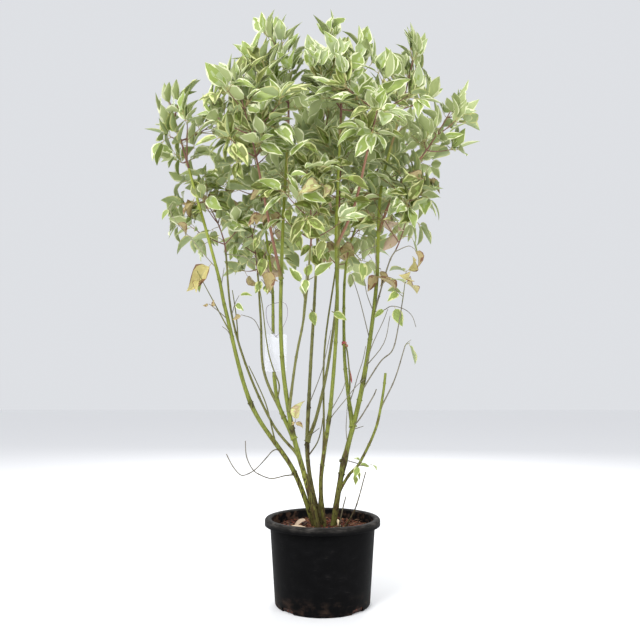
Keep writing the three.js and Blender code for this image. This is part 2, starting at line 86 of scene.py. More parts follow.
# The pot in millimetres: radius of its base, thickness of wall and base, how far the wall leans out over its
# height, reach and depth of the lip, and depth, width and height of a notch
BASE_RADIUS = 122
WALL = 2.5
BASE = 3.5
LEAN = 14
LIP_REACH = 14
LIP_DEPTH = 18
NOTCH = Vector((16, 38, 24))

# The source's rule for leaves and shoots: WIDTH and WIDEST are shares of a leaf's length
LEAF_LENGTH = 94
LEAF_WIDTH = 0.54
LEAF_WIDEST = 0.42
LEAF_SIZES = (1, 0.85, 0.7)
LEAF_SPACING = 38
LEAF_SPREAD = 1.05
LAST_SPREAD = 0.75
LAST_SIZE = 0.9
NODE_GAP = 46
JOINT_GAP = 72
SHORTEST_SHOOT = 20
LONGEST_SHOOT = 1.3
SHORTEN_BY = 8
LEADER_RADIUS = 3.5
SIDE_RADIUS = 0.75
SHOOT_TAPER = 0.4
BRANCHED_PART = 0.92
ROOM_FOR_LEAF = 0.8
MASS_GAP = 2
LEAF_TO_LIMB = 3
SHOOT_TO_LIMB = 5

# Real leaves against the source's: those at a twiglet's end, the last one and those further back; for each
# pair at a shoot's tip its spread and its size; how far a leaf's tip may stand out of its mass's space; and
# the length past which a twiglet carries a second pair
END_LEAF, LAST_LEAF, BACK_LEAF = 0.66, 0.6, 0.55
TIP_PAIRS = ((0.6, 0.66), (0.28, 0.52))
OUT_OF_SPACE = 12
LONG_TWIGLET = 32

# Finer twigs than the source's: how many are tried in a mass, how long they are, how far apart their leaves
# stay, and the middle and reach of each egg-shaped space that they fill
FILL_TRIES = 170
FILL_LENGTHS = (20, 95)
FILL_SPACING = 34
FILLED = (
    (Vector((-10, -10, 1190)), Vector((330, 290, 250))),
    (Vector((10, 90, 1340)), Vector((200, 100, 160))),
    (Vector((-20, -170, 1290)), Vector((190, 100, 110))),
)


# Sizes and colours that a user would change
def colour(name, description, *value):
    return FloatVectorProperty(
        name=name, description=description, subtype="COLOR", min=0, max=1, default=value)


class PotSettings(PropertyGroup):
    plastic: colour("Plastic", "Colour of the pot's black plastic", 0.0026, 0.0026, 0.0028)
    # The scuffs' colour, which also paints a highlight along the lip
    scuff: colour("Scuffs", "Colour of the worn lip", 0.16, 0.145, 0.13)
    dust: colour("Dust", "Colour of the dust on the plastic", 0.085, 0.05, 0.034)
    mix: colour("Bark mix", "Colour of the mix between its chips", 0.028, 0.012, 0.007)
    chip: colour("Bark chips", "Colour of the redder chips", 0.175, 0.043, 0.021)
    chips: IntProperty(name="Chips", description="Number of bark chips on the mix", default=1500, min=0)
    relief: FloatProperty(
        name="Relief", description="Height of the mix's bumps", default=0.004, unit="LENGTH")


class BarkSettings(PropertyGroup):
    young: colour("Young bark", "Yellow-green of the canes", 0.205, 0.238, 0.04)
    olive: colour("Olive bark", "Duller green of the thin canes", 0.18, 0.18, 0.055)
    old: colour("Old bark", "Brown of the canes near the mix", 0.078, 0.054, 0.016)
    blush: colour("Flushed bark", "Red-brown of the young wood in the crown", 0.2, 0.1, 0.065)
    dry: colour("Dry bark", "Dull brown of the bare twigs", 0.215, 0.195, 0.14)
    woody: colour("Woody twigs", "Dark red-brown of the shoots in the crown", 0.2, 0.092, 0.064)
    soft: colour("Soft twigs", "Yellow-brown of the youngest twigs", 0.3, 0.24, 0.09)
    ring_gap: FloatProperty(
        name="Ring gap", description="Length of bark between two rings of the mesh", default=0.007,
        unit="LENGTH")


class LeafSettings(PropertyGroup):
    cream: colour("Cream", "Edge of most leaves", 0.735, 0.765, 0.485)
    butter: colour("Butter", "Edge of shaded and young leaves", 0.56, 0.58, 0.25)
    green: colour("Green", "Middle of most leaves", 0.252, 0.33, 0.068)
    sage: colour("Sage", "Grey-green marbling", 0.34, 0.41, 0.185)
    # Moss paints shade into the middle of the shaded leaves
    moss: colour("Moss", "Middle of shaded leaves", 0.15, 0.175, 0.028)
    lime: colour("Lime", "Middle of young leaves", 0.215, 0.28, 0.062)
    pale_under: colour("Underside", "Paler underside", 0.41, 0.475, 0.205)
    yellow: colour("Yellow", "Yellowed low leaves", 0.5, 0.44, 0.17)
    tan: colour("Tan", "Withered leaves", 0.41, 0.33, 0.15)
    straw: colour("Straw", "Fallen leaves on the mix", 0.52, 0.39, 0.27)
    brown: colour("Brown", "Edge of withered leaves", 0.2, 0.1, 0.045)
    stalk: colour("Stalk", "Leaf stalks", 0.42, 0.36, 0.14)


class TagSettings(PropertyGroup):
    film: colour("Film", "Colour of the bare tag", 0.66, 0.67, 0.71)
    strand: colour("Strand", "Colour of the tag's loop", 0.32, 0.27, 0.33)
    tie: colour("Tie", "Colour of the red tie", 0.4, 0.042, 0.065)
    faded: colour("Faded tie", "Colour of the tie where it is worn", 0.36, 0.15, 0.09)


class StageSettings(PropertyGroup):
    floor: colour("Floor", "Colour of the plain floor", 0.95, 0.95, 0.955)
    sky: FloatProperty(name="Surround", description="Strength of the pale surround", default=0.78, min=0)
    key: FloatProperty(name="Main light", description="Power of the large soft light", default=130, min=0,
                       unit="POWER")


# Routes, which all give a place for a share of the way from 0 to 1
class Route:
    """A smooth line through given points."""

    def __init__(self, points):
        self.points = [Vector(p) for p in points]

    def point(self, t):
        last = len(self.points) - 1
        span = min(int(t * last), last - 1)
        part = t * last - span
        here, there = self.points[span], self.points[span + 1]
        before = self.points[span - 1] if span else 2 * here - there
        after = self.points[span + 2] if span + 2 <= last else 2 * there - here
        go, come = 0.5 * (there - before), 0.5 * (after - here)
        square = 3 * (there - here) - 2 * go - come
        cube = 2 * (here - there) + go + come
        return here + go * part + square * part**2 + cube * part**3


class Bow:
    """A single bend from start to end, pulled towards its knee."""

    def __init__(self, start, end, knee=None):
        self.start, self.end = start, end
        self.knee = (start + end) / 2 if knee is None else knee

    def point(self, t):
        return (1 - t) ** 2 * self.start + 2 * t * (1 - t) * self.knee + t**2 * self.end


def length_of(path, pieces=200):
    places = [path.point(k / pieces) for k in range(pieces + 1)]
    return sum((b - a).length for a, b in zip(places, places[1:]))


def frame_at(path, t):
    """The way ahead at t, and two directions square to it."""
    chord = (path.point(1) - path.point(0)).normalized()
    ahead = (path.point(min(1, t + 0.001)) - path.point(max(0, t - 0.001))).normalized()
    reference = Vector((0, 1, 0)) if abs(chord.z) > 0.7 else Vector((0, 0, 1))
    across = ahead.cross(reference).normalized()
    return ahead, across, across.cross(ahead)


def share_at_height(path, height):
    """How far along a rising route a height is reached, as the source finds it."""
    t = 0
    while t < 1 and path.point(t).z < height:
        t += 0.002
    return t


def seeded(seed):
    """The source's own draws, the same in each run."""
    state = seed * 7919 + 13

    def draw(low=0.0, high=1.0):
        nonlocal state
        state = state * 16807 % 2147483647
        return low + (high - low) * (state / 2147483647)

    return draw


# Limbs: how much a fork swells where it leaves its carrier, and a cane at its foot, and how soon that ends
FORK_SWELLING = 0.3
FOOT_SWELLING = 0.08
SWELLING_ENDS = 14


class Limb:
    """A cane, bough or twig, from the mix or from a share of the way up another limb, in millimetres.

    Its row gives the radius at its foot and tip and the points of its route."""

    def __init__(self, name, start, at, foot, tip, bark, *route):
        self.name, self.start, self.foot, self.tip, self.bark = name, start, foot, tip, bark
        self.swelling = FORK_SWELLING if start else FOOT_SWELLING
        points = [Vector(p) for p in route]
        if start:
            points.insert(0, LIMBS[start].path.point(at))
        else:
            points[0].z = GROUND
            points.insert(0, Vector((points[0].x, points[0].y, GROUND - ROOTED)))
        self.path = Route(points)

    def radius_at(self, t):
        swollen = 1 + self.swelling * math.exp(-SWELLING_ENDS * t)
        return (self.foot + (self.tip - self.foot) * t) * swollen


# For each limb: carrier and share of the way up it, radius at foot and tip, bark, and points of its route
LIMB_ROWS = (
    ("cane_left", None, 0, 7.5, 3.5, "green", (-22, -8, 0), (-77, -20, 335), (-187, -35, 505),
     (-255, -45, 745), (-282, -45, 860), (-364, -45, 1140)),
    ("cane_front_left", None, 0, 8.5, 3.5, "green", (-12, -26, 0), (-43, -32, 310), (-81, -52, 453),
     (-106, -80, 655), (-105, -90, 915), (-92, -80, 1240)),
    ("cane_back", None, 0, 7, 3.5, "olive", (-5, 14, 0), (-39, 32, 350), (-36, 60, 540), (-21, 120, 835),
     (-6, 200, 1190)),
    ("cane_front", None, 0, 6.5, 3.5, "green", (5, -7, 0), (-4, -22, 310), (22, -50, 510), (38, -75, 745),
     (36, -85, 960), (50, -80, 1270)),
    ("cane_right", None, 0, 9, 3.2, "green", (28, -2, 0), (54, -10, 343), (105, -25, 550), (143, -35, 805),
     (160, -35, 1080), (213, -35, 1290)),
    ("cane_back_thin", None, 0, 3.2, 2.5, "olive", (-13, 6, 0), (3, 30, 400), (6, 75, 650), (40, 160, 900)),
    ("cane_back_left", "cane_front_left", 0.46, 5.5, 3, "green", (-115, -35, 505), (-129, -24, 600),
     (-133, -8, 710), (-140, 40, 830), (-160, 110, 960), (-185, 180, 1120)),
    ("cane_far_left", "cane_back_left", 0.1, 4.2, 2.8, "olive", (-158, 15, 590), (-175, 80, 740),
     (-192, 150, 885)),
    ("cane_left_thin", "cane_front_left", 0.41, 3.6, 2.6, "olive", (-131, -10, 451), (-202, 12, 595),
     (-250, 20, 750), (-268, 15, 920)),
    ("cane_front_thin", "cane_front_left", 0.53, 3.6, 2.6, "olive", (-68, -92, 616), (-46, -120, 730),
     (-30, -155, 895)),
    ("cane_middle", "cane_back", 0.46, 5, 2.8, "olive", (-13, 40, 480), (18, 35, 624), (41, 25, 815),
     (48, 15, 1050)),
    ("cane_back_right", "cane_right", 0.42, 6, 3, "green", (70, 10, 525), (61, 60, 665), (72, 140, 920),
     (130, 200, 1120)),
    ("cane_right_thin", "cane_right", 0.27, 4, 3.2, "green", (70, -17, 322), (96, -26, 352),
     (137, -45, 440), (155, -60, 525), (162, -70, 583)),
    ("bough_front_left", "cane_front_left", 0.78, 4, 2.8, "red", (-135, -150, 960), (-160, -200, 1090)),
    ("bough_front_right", "cane_front", 0.8, 4, 2.8, "red", (80, -160, 1000), (110, -215, 1120)),
    ("bough_right_low", "cane_right", 0.62, 2.3, 1.9, "dry", (175, -50, 870), (195, -60, 910)),
    ("bough_right", "cane_right", 0.76, 4, 2.8, "red", (195, -40, 1070), (275, -35, 1180)),
    ("twig_low_left", "cane_left", 0.38, 1.5, 1.1, "dry", (-118, -34, 387), (-130, -42, 383),
     (-145, -52, 366), (-169, -68, 341), (-191, -80, 329), (-206, -88, 330), (-224, -95, 352),
     (-239, -100, 381)),
    ("twig_low_front", "cane_left", 0.32, 1.5, 1.1, "dry", (-97, -36, 321), (-114, -48, 318),
     (-131, -60, 317), (-151, -74, 325), (-171, -84, 338), (-184, -90, 359), (-191, -93, 381),
     (-193, -95, 413)),
    ("twig_right", "cane_right_thin", 0.72, 2, 1.4, "dry", (185, -70, 566), (212, -75, 650)),
    ("twig_right_high", "cane_right", 0.49, 2, 1.4, "dry", (150, -55, 612), (180, -80, 642),
     (195, -92, 705), (205, -98, 765)),
    ("twig_middle", "cane_right", 0.42, 2, 1.4, "dry", (99, -45, 470), (131, -53, 523), (139, -60, 542)),
    ("twig_tied", "cane_back_right", 0.25, 2.4, 2, "olive", (75, 28, 560), (71, 44, 630), (67, 52, 661)),
    ("twig_soil_right", None, 0, 2.2, 1.4, "dry", (57, -20, 0), (76, -25, 221), (90, -31, 255),
     (111, -40, 331)),
    ("twig_soil_middle", None, 0, 2.4, 1.4, "dry", (42, -22, 0), (51, -26, 233), (60, -30, 268)),
)
LIMBS = {}
for row in LIMB_ROWS:
    LIMBS[row[0]] = Limb(*row)

# Dark knobs on the canes, dark with real marks and, on the front cane, with a painted crotch shadow: carrier,
# height, share by which the cane swells, and the way of the knob's stub
KNOBS = (
    ("cane_right", 352, 0.36, (-0.9, -0.35, 0.3)),
    ("cane_right", 567, 0.14, (-0.8, -0.6, 0.1)),
    ("cane_front_left", 438, 0.16, (0.7, -0.6, 0.4)),
    ("cane_front", 462, 0.2, (-0.7, -0.7, 0.3)),
    ("cane_back", 392, 0.18, (-0.8, -0.5, 0.3)),
    ("cane_back", 495, 0.14, (0.8, -0.5, 0.3)),
    ("cane_left", 505, 0.12, (-0.7, -0.7, 0.2)),
)

# How far knobs darken a cane, with real marks and a painted crotch shadow, and swell it, and how much and how
# far its joints and its collar swell it
KNOB_DARK = 15
KNOB_REACH = 22
JOINT_SWELL, JOINT_REACH = 0.13, 5
COLLAR_SWELL, COLLAR_REACH = 0.45, 9

# The foot's radius from which a limb counts as thick, how far the dark ring of a joint reaches, and how far
# out and how wide a knob's stub is, from its foot to its end, as shares of the cane's radius
THICK = 3
RING_REACH = 5
STUB = ((0.3, 0.62), (1.05, 0.5), (1.3, 0.42), (1.38, 0.2))

# Thin twigs on the canes below the crown: radius at foot and tip for each bark, then for each twig its
# carrier, height on it, bark and route, and leaves as share of the way, tip and kind
TWIG_RADII = {"dry": (1.4, 0.8), "olive": (2.2, 1.2)}
LOW_TWIGS = (
    ("cane_left", 725, "dry", ((-280, -60, 751), (-296, -70, 763)), (1, (-312, -75, 755), "tan"),
     (0.6, (-286, -68, 775), "tan")),
    ("cane_left", 862, "dry", ((-310, -46, 893), (-347, -60, 937), (-388, -75, 982), (-402, -85, 1011),
     (-394, -90, 1026)), (0.83, (-428, -95, 988), "plain"), (0.6, (-350, -66, 952), "tan"),
     (0.1, (-350, -85, 795), "yellow")),
    ("cane_left_thin", 745, "dry", ((-236, -10, 775), (-222, -40, 790)), (1, (-188, -55, 800), "plain"),
     (0.5, (-212, -30, 752), "young")),
    ("cane_far_left", 700, "dry", ((-186, 0, 731), (-214, -50, 737)), (1, (-232, -66, 722), "tan")),
    ("cane_back_left", 800, "dry", ((-165, -10, 840),), (1, (-182, -22, 800), "plain"),
     (0.7, (-150, -25, 802), "plain")),
    ("cane_back_left", 850, "dry", ((-150, -5, 870), (-160, -15, 905)), (1, (-168, -25, 845), "shaded"),
     (0.5, (-138, -30, 800), "tan")),
    ("cane_back", 760, "olive", ((-32, 70, 768),), (1, (-20, 60, 722), "plain")),
    ("cane_back", 905, "olive", ((-30, 40, 952),), (1, (5, 30, 905), "shaded"),
     (1, (-62, 35, 915), "shaded"), (0.6, (-6, 25, 885), "shaded")),
    ("cane_front_left", 925, "dry", ((-125, -15, 944),), (1, (-152, -20, 908), "shaded")),
    ("cane_back_left", 930, "dry", ((-173, -20, 961),), (1, (-186, -30, 915), "shaded")),
    ("cane_middle", 940, "dry", ((59, 45, 954),), (1, (69, 40, 905), "tan"), (0.5, (98, 20, 925), "tan")),
    ("cane_front", 735, "olive", ((24, -92, 740),), (1, (62, -102, 717), "plain")),
    ("cane_front", 880, "olive", ((71, -110, 895), (98, -120, 868)), (1, (108, -128, 812), "plain")),
    ("cane_right", 850, "olive", ((146, -42, 850),), (1, (121, -55, 800), "tan")),
    ("cane_right", 865, "olive", ((155, -45, 862),), (1, (166, -50, 812), "tan")),
    ("bough_right_low", 905, "dry", ((225, -80, 915), (240, -90, 905)), (1, (262, -100, 855), "tan")),
    ("cane_right", 745, "dry", ((160, -55, 748), (180, -70, 757), (211, -80, 748), (231, -85, 729),
     (240, -88, 700)), (0.25, (130, -66, 732), "plain"), (0.45, (205, -80, 702), "plain")),
    ("cane_front_left", 455, "dry", ((-70, -56, 458),), (1, (-60, -62, 520), "faded"),
     (0.8, (-45, -58, 447), "tan"), (1, (-85, -60, 450), "tan")),
    ("cane_right", 577, "dry", ((128, -45, 650), (158, -60, 717), (171, -65, 750))),
    ("cane_right", 600, "dry", ((161, -50, 662), (177, -60, 733))),
    ("cane_right", 746, "dry", ((118, -52, 790), (110, -60, 834))),
    ("cane_right", 669, "dry", ((98, -50, 779), (77, -60, 842))),
    ("cane_right", 848, "dry", ((137, -60, 937),)),
    ("cane_right", 925, "dry", ((112, -72, 905), (90, -85, 887))),
    ("cane_right", 357, "dry", ((94, -28, 350), (108, -40, 345))),
    ("cane_right", 436, "dry", ((106, -40, 447),)),
    ("cane_right", 391, "dry", ((62, -20, 436), (64, -15, 472), (66, -10, 504))),
    ("cane_front", 450, "dry", ((25, -46, 473), (56, -48, 511), (87, -49, 549), (109, -50, 568))),
    ("cane_front", 480, "dry", ((50, -48, 536), (61, -50, 566))),
    ("cane_back_right", 505, "dry", ((85, -10, 546), (94, -20, 579), (107, -30, 619), (114, -40, 655))),
    ("cane_back", 361, "olive", ((-14, 30, 400), (-3, 28, 437), (1, 30, 466))),
    ("cane_back", 412, "dry", ((-8, 10, 440),)),
    ("cane_left", 400, "olive", ((-135, -18, 450), (-150, -10, 504), (-175, 0, 559), (-199, 8, 606))),
    ("cane_left_thin", 672, "olive", ((-234, 10, 730), (-240, 5, 775), (-246, 0, 812))),
    ("cane_back", 498, "dry", ((-1, 40, 596), (24, 30, 706))),
    ("cane_back_left", 515, "olive", ((-112, -58, 552), (-126, -54, 589), (-140, -50, 633),
     (-150, -48, 690), (-160, -38, 765), (-178, -12, 855))),
    ("cane_left_thin", 915, "dry", ((-215, 0, 905), (-175, -10, 875))),
    ("cane_back_left", 830, "dry", ((-165, 15, 870), (-194, 10, 921))),
    ("cane_left", 810, "dry", ((-264, -35, 867),)),
    ("cane_left", 650, "dry", ((-246, -50, 690), (-262, -60, 705))),
)

# Foliage masses: carrier, middle and radius of the ball that each keeps to, and its leader's tip; small ones
# also have their share of the way up the carrier and the size of their leaves. Where two balls meet, each
# mass keeps to its own side of the plane between them
MASS_ROWS = (
    ("crown_left", "cane_left", (-350, -30, 1252), 150, (-428, -45, 1350)),
    ("crown_top_left", "cane_front_left", (-128, -60, 1388), 178, (-112, -70, 1498)),
    ("crown_top", "cane_front", (26, -60, 1392), 175, (34, -60, 1512)),
    ("crown_top_right", "cane_right", (243, -30, 1402), 150, (256, -35, 1462)),
    ("crown_right", "bough_right", (335, -30, 1285), 125, (375, -35, 1345)),
    ("crown_front_left", "bough_front_left", (-185, -240, 1195), 170, (-205, -265, 1265)),
    ("crown_front_right", "bough_front_right", (120, -260, 1190), 175, (145, -285, 1262)),
    ("crown_back_left", "cane_back_left", (-210, 220, 1280), 180, (-240, 240, 1390)),
    ("crown_back", "cane_back", (10, 240, 1370), 185, (10, 240, 1480)),
    ("crown_back_right", "cane_back_right", (230, 220, 1270), 180, (255, 230, 1380)),
    ("crown_heart", "cane_middle", (40, 10, 1210), 150, (50, 10, 1260)),
    ("skirt_left", "cane_left_thin", (-322, 20, 1050), 150, (-372, 30, 1130)),
    ("skirt_back_left", "cane_far_left", (-200, 190, 1010), 160, (-230, 220, 1080)),
    ("skirt_front", "cane_front_thin", (-40, -190, 1010), 165, (-40, -200, 1070)),
    ("skirt_right", "bough_right_low", (200, -50, 1045), 145, (240, -60, 1105)),
    ("skirt_back", "cane_back_thin", (80, 190, 1020), 165, (90, 200, 1090)),
    ("sprig_front", "cane_front_thin", (-45, -150, 838), 78, (-38, -190, 842), 0.6, 0.65),
    ("sprig_left", "cane_left", (-338, -70, 852), 62, (-332, -70, 855), 0.62, 0.6),
    ("sprig_right", "twig_right", (235, -80, 660), 62, (228, -80, 668), 1, 0.6),
    ("sprig_right_high", "twig_right_high", (215, -100, 822), 76, (215, -105, 845), 1, 0.65),
    ("sprig_low", "cane_right_thin", (105, -72, 355), 55, (100, -65, 358), 0.27, 0.4),
)


class Mass:
    """A mass of leaves on one leader."""

    def __init__(self, name, bough, centre, reach, top, at=1, leaf=1):
        self.name, self.bough, self.at, self.reach, self.leaf = name, bough, at, reach, leaf
        self.centre, self.top = Vector(centre), Vector(top)
        self.hearts = []


MASSES = [Mass(*row) for row in MASS_ROWS]
BEADS = [(limb.path.point(k / 80), limb.radius_at(k / 80)) for limb in LIMBS.values() for k in range(79)]
BEAD_PLACES = np.array([place for place, radius in BEADS])
BEAD_RADII = np.array([radius for place, radius in BEADS])


def in_space(mass, p, margin):
    if (p - mass.centre).length > mass.reach - margin:
        return False
    own = (p - mass.centre).length_squared - mass.reach**2
    for other in MASSES:
        if other is not mass:
            theirs = (p - other.centre).length_squared - other.reach**2
            if (theirs - own) / (2 * (other.centre - mass.centre).length) <= margin:
                return False
    return True


def clear_of_limbs(p, margin):
    gaps = np.linalg.norm(BEAD_PLACES - np.array(p), axis=1) - BEAD_RADII
    return bool((gaps > margin).all())


def leaf_fits(mass, root, along, up, length):
    heart = root + along * LEAF_WIDEST * length
    if any((other - heart).length < LEAF_SPACING * mass.leaf for other in mass.hearts):
        return False
    side = up.cross(along).normalized()
    for forward in (0.2, LEAF_WIDEST, 0.65, 0.85, 1):
        narrowing = min(forward / LEAF_WIDEST, (1 - forward) / (1 - LEAF_WIDEST))
        half = LEAF_WIDTH * length / 2 * narrowing
        middle = root + along * forward * length
        if not clear_of_limbs(middle, half + LEAF_TO_LIMB):
            return False
        if not all(in_space(mass, middle + side * edge * half, MASS_GAP) for edge in (-1, 1)):
            return False
    return True


def swung(ahead, aside, angle):
    """A direction turned by an angle from one way towards another, square one."""
    return ahead * math.cos(angle) + aside * math.sin(angle)


Spray = namedtuple("Spray", "path t along up length")
Shoot = namedtuple("Shoot", "path radius sprays")
Leaf = namedtuple("Leaf", "root along up length kind")


def leaf_pair(mass, path, t, turn, spread, size, draw):
    """The source's leaves at one node of a shoot: each stands for a spray of real ones."""
    ahead, across, over = frame_at(path, t)
    for handed in (-1, 1):
        angle = spread * draw(0.9, 1.15)
        along = swung(ahead, swung(across, over, turn) * handed, angle)
        along.z -= draw(0.1, 0.5) * (1 - max(0, ahead.z))
        along.normalize()
        up = Vector((draw(-0.35, 0.35), draw(-0.35, 0.35), 1)) - ahead * 0.6 * ahead.z
        up = (up - along * up.dot(along)).normalized()
        root = path.point(t)
        full = LEAF_LENGTH * mass.leaf * size * draw(0.9, 1.1)
        share = next((s for s in LEAF_SIZES if leaf_fits(mass, root, along, up, s * full)), 0)
        if share:
            mass.hearts.append(root + along * LEAF_WIDEST * share * full)
            yield Spray(path, t, along, up, share * full)


def shoot(mass, path, radius, draw):
    length = length_of(path)
    nodes = max(0, math.floor(length / (NODE_GAP * mass.leaf) - 0.4))
    turn = draw(0, math.pi)
    sprays = []
    for k in range(1, nodes + 1):
        sprays += leaf_pair(mass, path, (k - 0.1) / (nodes + 1), turn, LEAF_SPREAD, 1, draw)
        turn += math.pi / 2
    sprays += leaf_pair(mass, path, 1 - 4 / length, turn, LAST_SPREAD, LAST_SIZE, draw)
    return Shoot(path, radius, sprays)


def side_shoot(mass, origin, direction, longest):
    """A side shoot is as long as the space beyond its end still holds a leaf."""
    length = longest
    while length > SHORTEST_SHOOT * mass.leaf:
        path = Bow(origin, origin + direction * length)
        beyond = path.end + direction * ROOM_FOR_LEAF * LEAF_LENGTH * mass.leaf
        clear = all(clear_of_limbs(path.point(t), SHOOT_TO_LIMB) for t in (0.3, 0.5, 0.7, 0.85, 1))
        if clear and in_space(mass, beyond, MASS_GAP):
            return path
        length -= SHORTEN_BY
    return None


def grow(mass, seed):
    """The leader of a mass and its pairs of side shoots, as the source grows them."""
    draw = seeded(seed)
    stem = LIMBS[mass.bough]
    tangent = frame_at(stem.path, mass.at)[0]
    start = stem.path.point(mass.at) + tangent * (CLEAR if mass.at == 1 else 0)
    length = (mass.top - start).length
    knee = start + tangent * 0.4 * length if mass.at == 1 else None
    leader = Bow(start, mass.top, knee)
    radius = min(stem.radius_at(mass.at), LEADER_RADIUS * mass.leaf)
    shoots = [shoot(mass, leader, radius, draw)]
    joints = max(1, math.floor(length / (JOINT_GAP * mass.leaf) + 0.5))
    turn = draw(0, math.pi)
    for k in range(joints):
        t = (k + 0.4) / joints * BRANCHED_PART
        ahead, across, over = frame_at(leader, t)
        for handed in (-1, 1):
            spread = draw(0.95, 1.3)
            direction = swung(ahead, swung(across, over, turn) * handed, spread)
            direction.z += 0.15
            direction.normalize()
            longest = LONGEST_SHOOT * mass.reach * draw(0.8, 1)
            path = side_shoot(mass, leader.point(t), direction, longest)
            if path:
                shoots.append(shoot(mass, path, SIDE_RADIUS * radius, draw))
        turn += math.pi / 2 + draw(-0.2, 0.2)
    return shoots


# Finishes
class Signal:
    """A socket that takes part in Python sums: each operator adds one Math node."""

    def __init__(self, finish, socket):
        self.finish, self.socket = finish, socket

    def sum_with(self, operation, first, second):
        return self.finish.node("ShaderNodeMath", {"operation": operation}, {0: first, 1: second})

    def __add__(self, other):
        return self.sum_with("ADD", self, other)

    def __sub__(self, other):
        return self.sum_with("SUBTRACT", self, other)

    def __rsub__(self, other):
        return self.sum_with("SUBTRACT", other, self)

    def __mul__(self, other):
        return self.sum_with("MULTIPLY", self, other)

    __radd__ = __add__

    def between(self, low, high):
        """0 below low, 1 above high, and smooth between them."""
        return self.finish.node(
            "ShaderNodeMapRange", {"interpolation_type": "SMOOTHSTEP"},
            {"Value": self, "From Min": low, "From Max": high})


class Finish:
    """A Principled material whose nodes all come from one method."""

    def __init__(self, name, roughness, **plain):
        self.material = bpy.data.materials.new(name)
        self.material.use_nodes = True
        self.tree = self.material.node_tree
        self.shader = self.tree.nodes["Principled BSDF"]
        self.set("Roughness", roughness)
        for socket, value in plain.items():
            self.set(socket.replace("_", " "), value)

    def feed(self, socket, value):
        if isinstance(value, Signal):
            self.tree.links.new(value.socket, socket)
        elif socket.type == "RGBA":
            socket.default_value = (*value, 1)
        else:
            socket.default_value = value

    def set(self, socket, value):
        self.feed(self.shader.inputs[socket], value)

    def node(self, kind, settings=None, inputs=None, output=0):
        made = self.tree.nodes.new(kind)
        for key, value in (settings or {}).items():
            setattr(made, key, value)
        for key, value in (inputs or {}).items():
            self.feed(made.inputs[key], value)
        return Signal(self, made.outputs[output])

    def place(self):
        """Object coordinates in metres."""
        return self.node("ShaderNodeTexCoord", output="Object")

    def height(self):
        return self.node("ShaderNodeSeparateXYZ", {}, {"Vector": self.place()}, output="Z")

    def noise(self, scale, detail=3, upright=1):
        """Noise with so many features to a metre, and upright times as many up the plant."""
        where = self.node("ShaderNodeMapping", {}, {"Vector": self.place(), "Scale": (1, 1, upright)})
        return self.node("ShaderNodeTexNoise", {}, {"Vector": where, "Scale": scale, "Detail": detail})

    def attribute(self, name):
        return self.node("ShaderNodeAttribute", {"attribute_name": name}, {}, output="Fac")

    def mix(self, first, second, share):
        made = self.tree.nodes.new("ShaderNodeMix")
        made.data_type = "RGBA"
        self.feed(made.inputs["Factor"], share)
        colours = [socket for socket in made.inputs if socket.type == "RGBA"]
        self.feed(colours[0], first)
        self.feed(colours[1], second)
        return Signal(self, next(socket for socket in made.outputs if socket.type == "RGBA"))

    def paint(self, colour, *coats):
        """The base colour: each coat is a colour and its share over all that lies below it."""
        for coat, share in coats:
            colour = self.mix(colour, coat, share)
        self.set("Base Color", colour)

    def bump(self, height, depth):
        """Relief of a depth in metres."""
        self.set("Normal", self.node("ShaderNodeBump", {}, {"Height": height, "Distance": depth}))


def times(factor, shade):
    """A darker or paler tone of a colour."""
    return [factor * channel for channel in shade]


def plain_finish(name, shade, roughness=0.5, **plain):
    finish = Finish(name, roughness, **plain)
    finish.paint(shade)
    return finish.material


def bark_finish(name, young, old, blush, foot):
    """Smooth bark: brown and blotched near the mix, flushed high up, and greener where it leaves a limb."""
    finish = Finish(name, 0.5, Specular_IOR_Level=0.25)
    height = finish.height()
    drift = finish.noise(30, 3, 0.4)
    streaks = finish.noise(420, 4, 0.08)
    patches = finish.noise(95, 2, 0.35)
    specks = finish.noise(900, 1, 0.6).between(0.68, 0.74)
    marks = finish.noise(300, 3, 0.22)
    scar = finish.attribute("scar")
    aged = (0.54 - height + (drift - 0.5) * 0.6).between(0, 0.3)
    flushed = (height + (drift - 0.5) * 0.35).between(1.13, 1.33)
    blotched = aged * 0.6 + patches.between(0.53, 0.62) * (aged * 0.8 + 0.2)
    soiled = (0.25 + (drift - 0.5) * 0.12 - height).between(0, 0.06)
    worn = marks.between(0.51, 0.6) * (aged * 0.8 + 0.12)
    marked = scar * (0.35 + marks * 0.5) + specks * 0.4 + worn
    finish.paint(
        young,
        (times(0.5, young), streaks.between(0.35, 0.75)),
        # Paler high up in the crown: painted light against the shade of the leaves
        (times(1.7, young), height.between(0.8, 0.98) * 0.75),
        (blush, flushed),
        (foot, finish.attribute("foot")),
        (old, blotched.between(0, 1)),
        (times(1.7, young), drift.between(0.5, 0.62) * aged * 0.35),
        (times(0.6, old), soiled * (0.3 + marks * 0.4)),
        # The darkest coat: specks, wear, dark rings and knob marks, and a painted crotch shadow at the front
        # cane's knob
        (times(0.45, old), marked.between(0, 1)))
    finish.set("Roughness", 0.42 + aged * 0.3 + streaks * 0.12)
    finish.bump(streaks * 0.5 + drift * 0.3 - specks * 0.4 + scar * 0.5, 0.0006)
    return finish.material


# The bark of each kind of limb: its young, old and flushed colours, and the one at its foot
BARKS = {
    "green": ("young", "old", "blush", "young"),
    "olive": ("olive", "old", "blush", "olive"),
    "red": ("blush", "old", "blush", "young"),
    "dry": ("dry", "old", "dry", "olive"),
}


@cache
def bark_of(kind):
    settings = bpy.context.scene.dogwood_bark
    return bark_finish(kind + "_bark", *(getattr(settings, shade) for shade in BARKS[kind]))


# Meshes and pieces
def mesh_from(bm, name):
    """A mesh of a bmesh, which ends with it."""
    mesh = bpy.data.meshes.new(name)
    bm.to_mesh(mesh)
    bm.free()
    return mesh


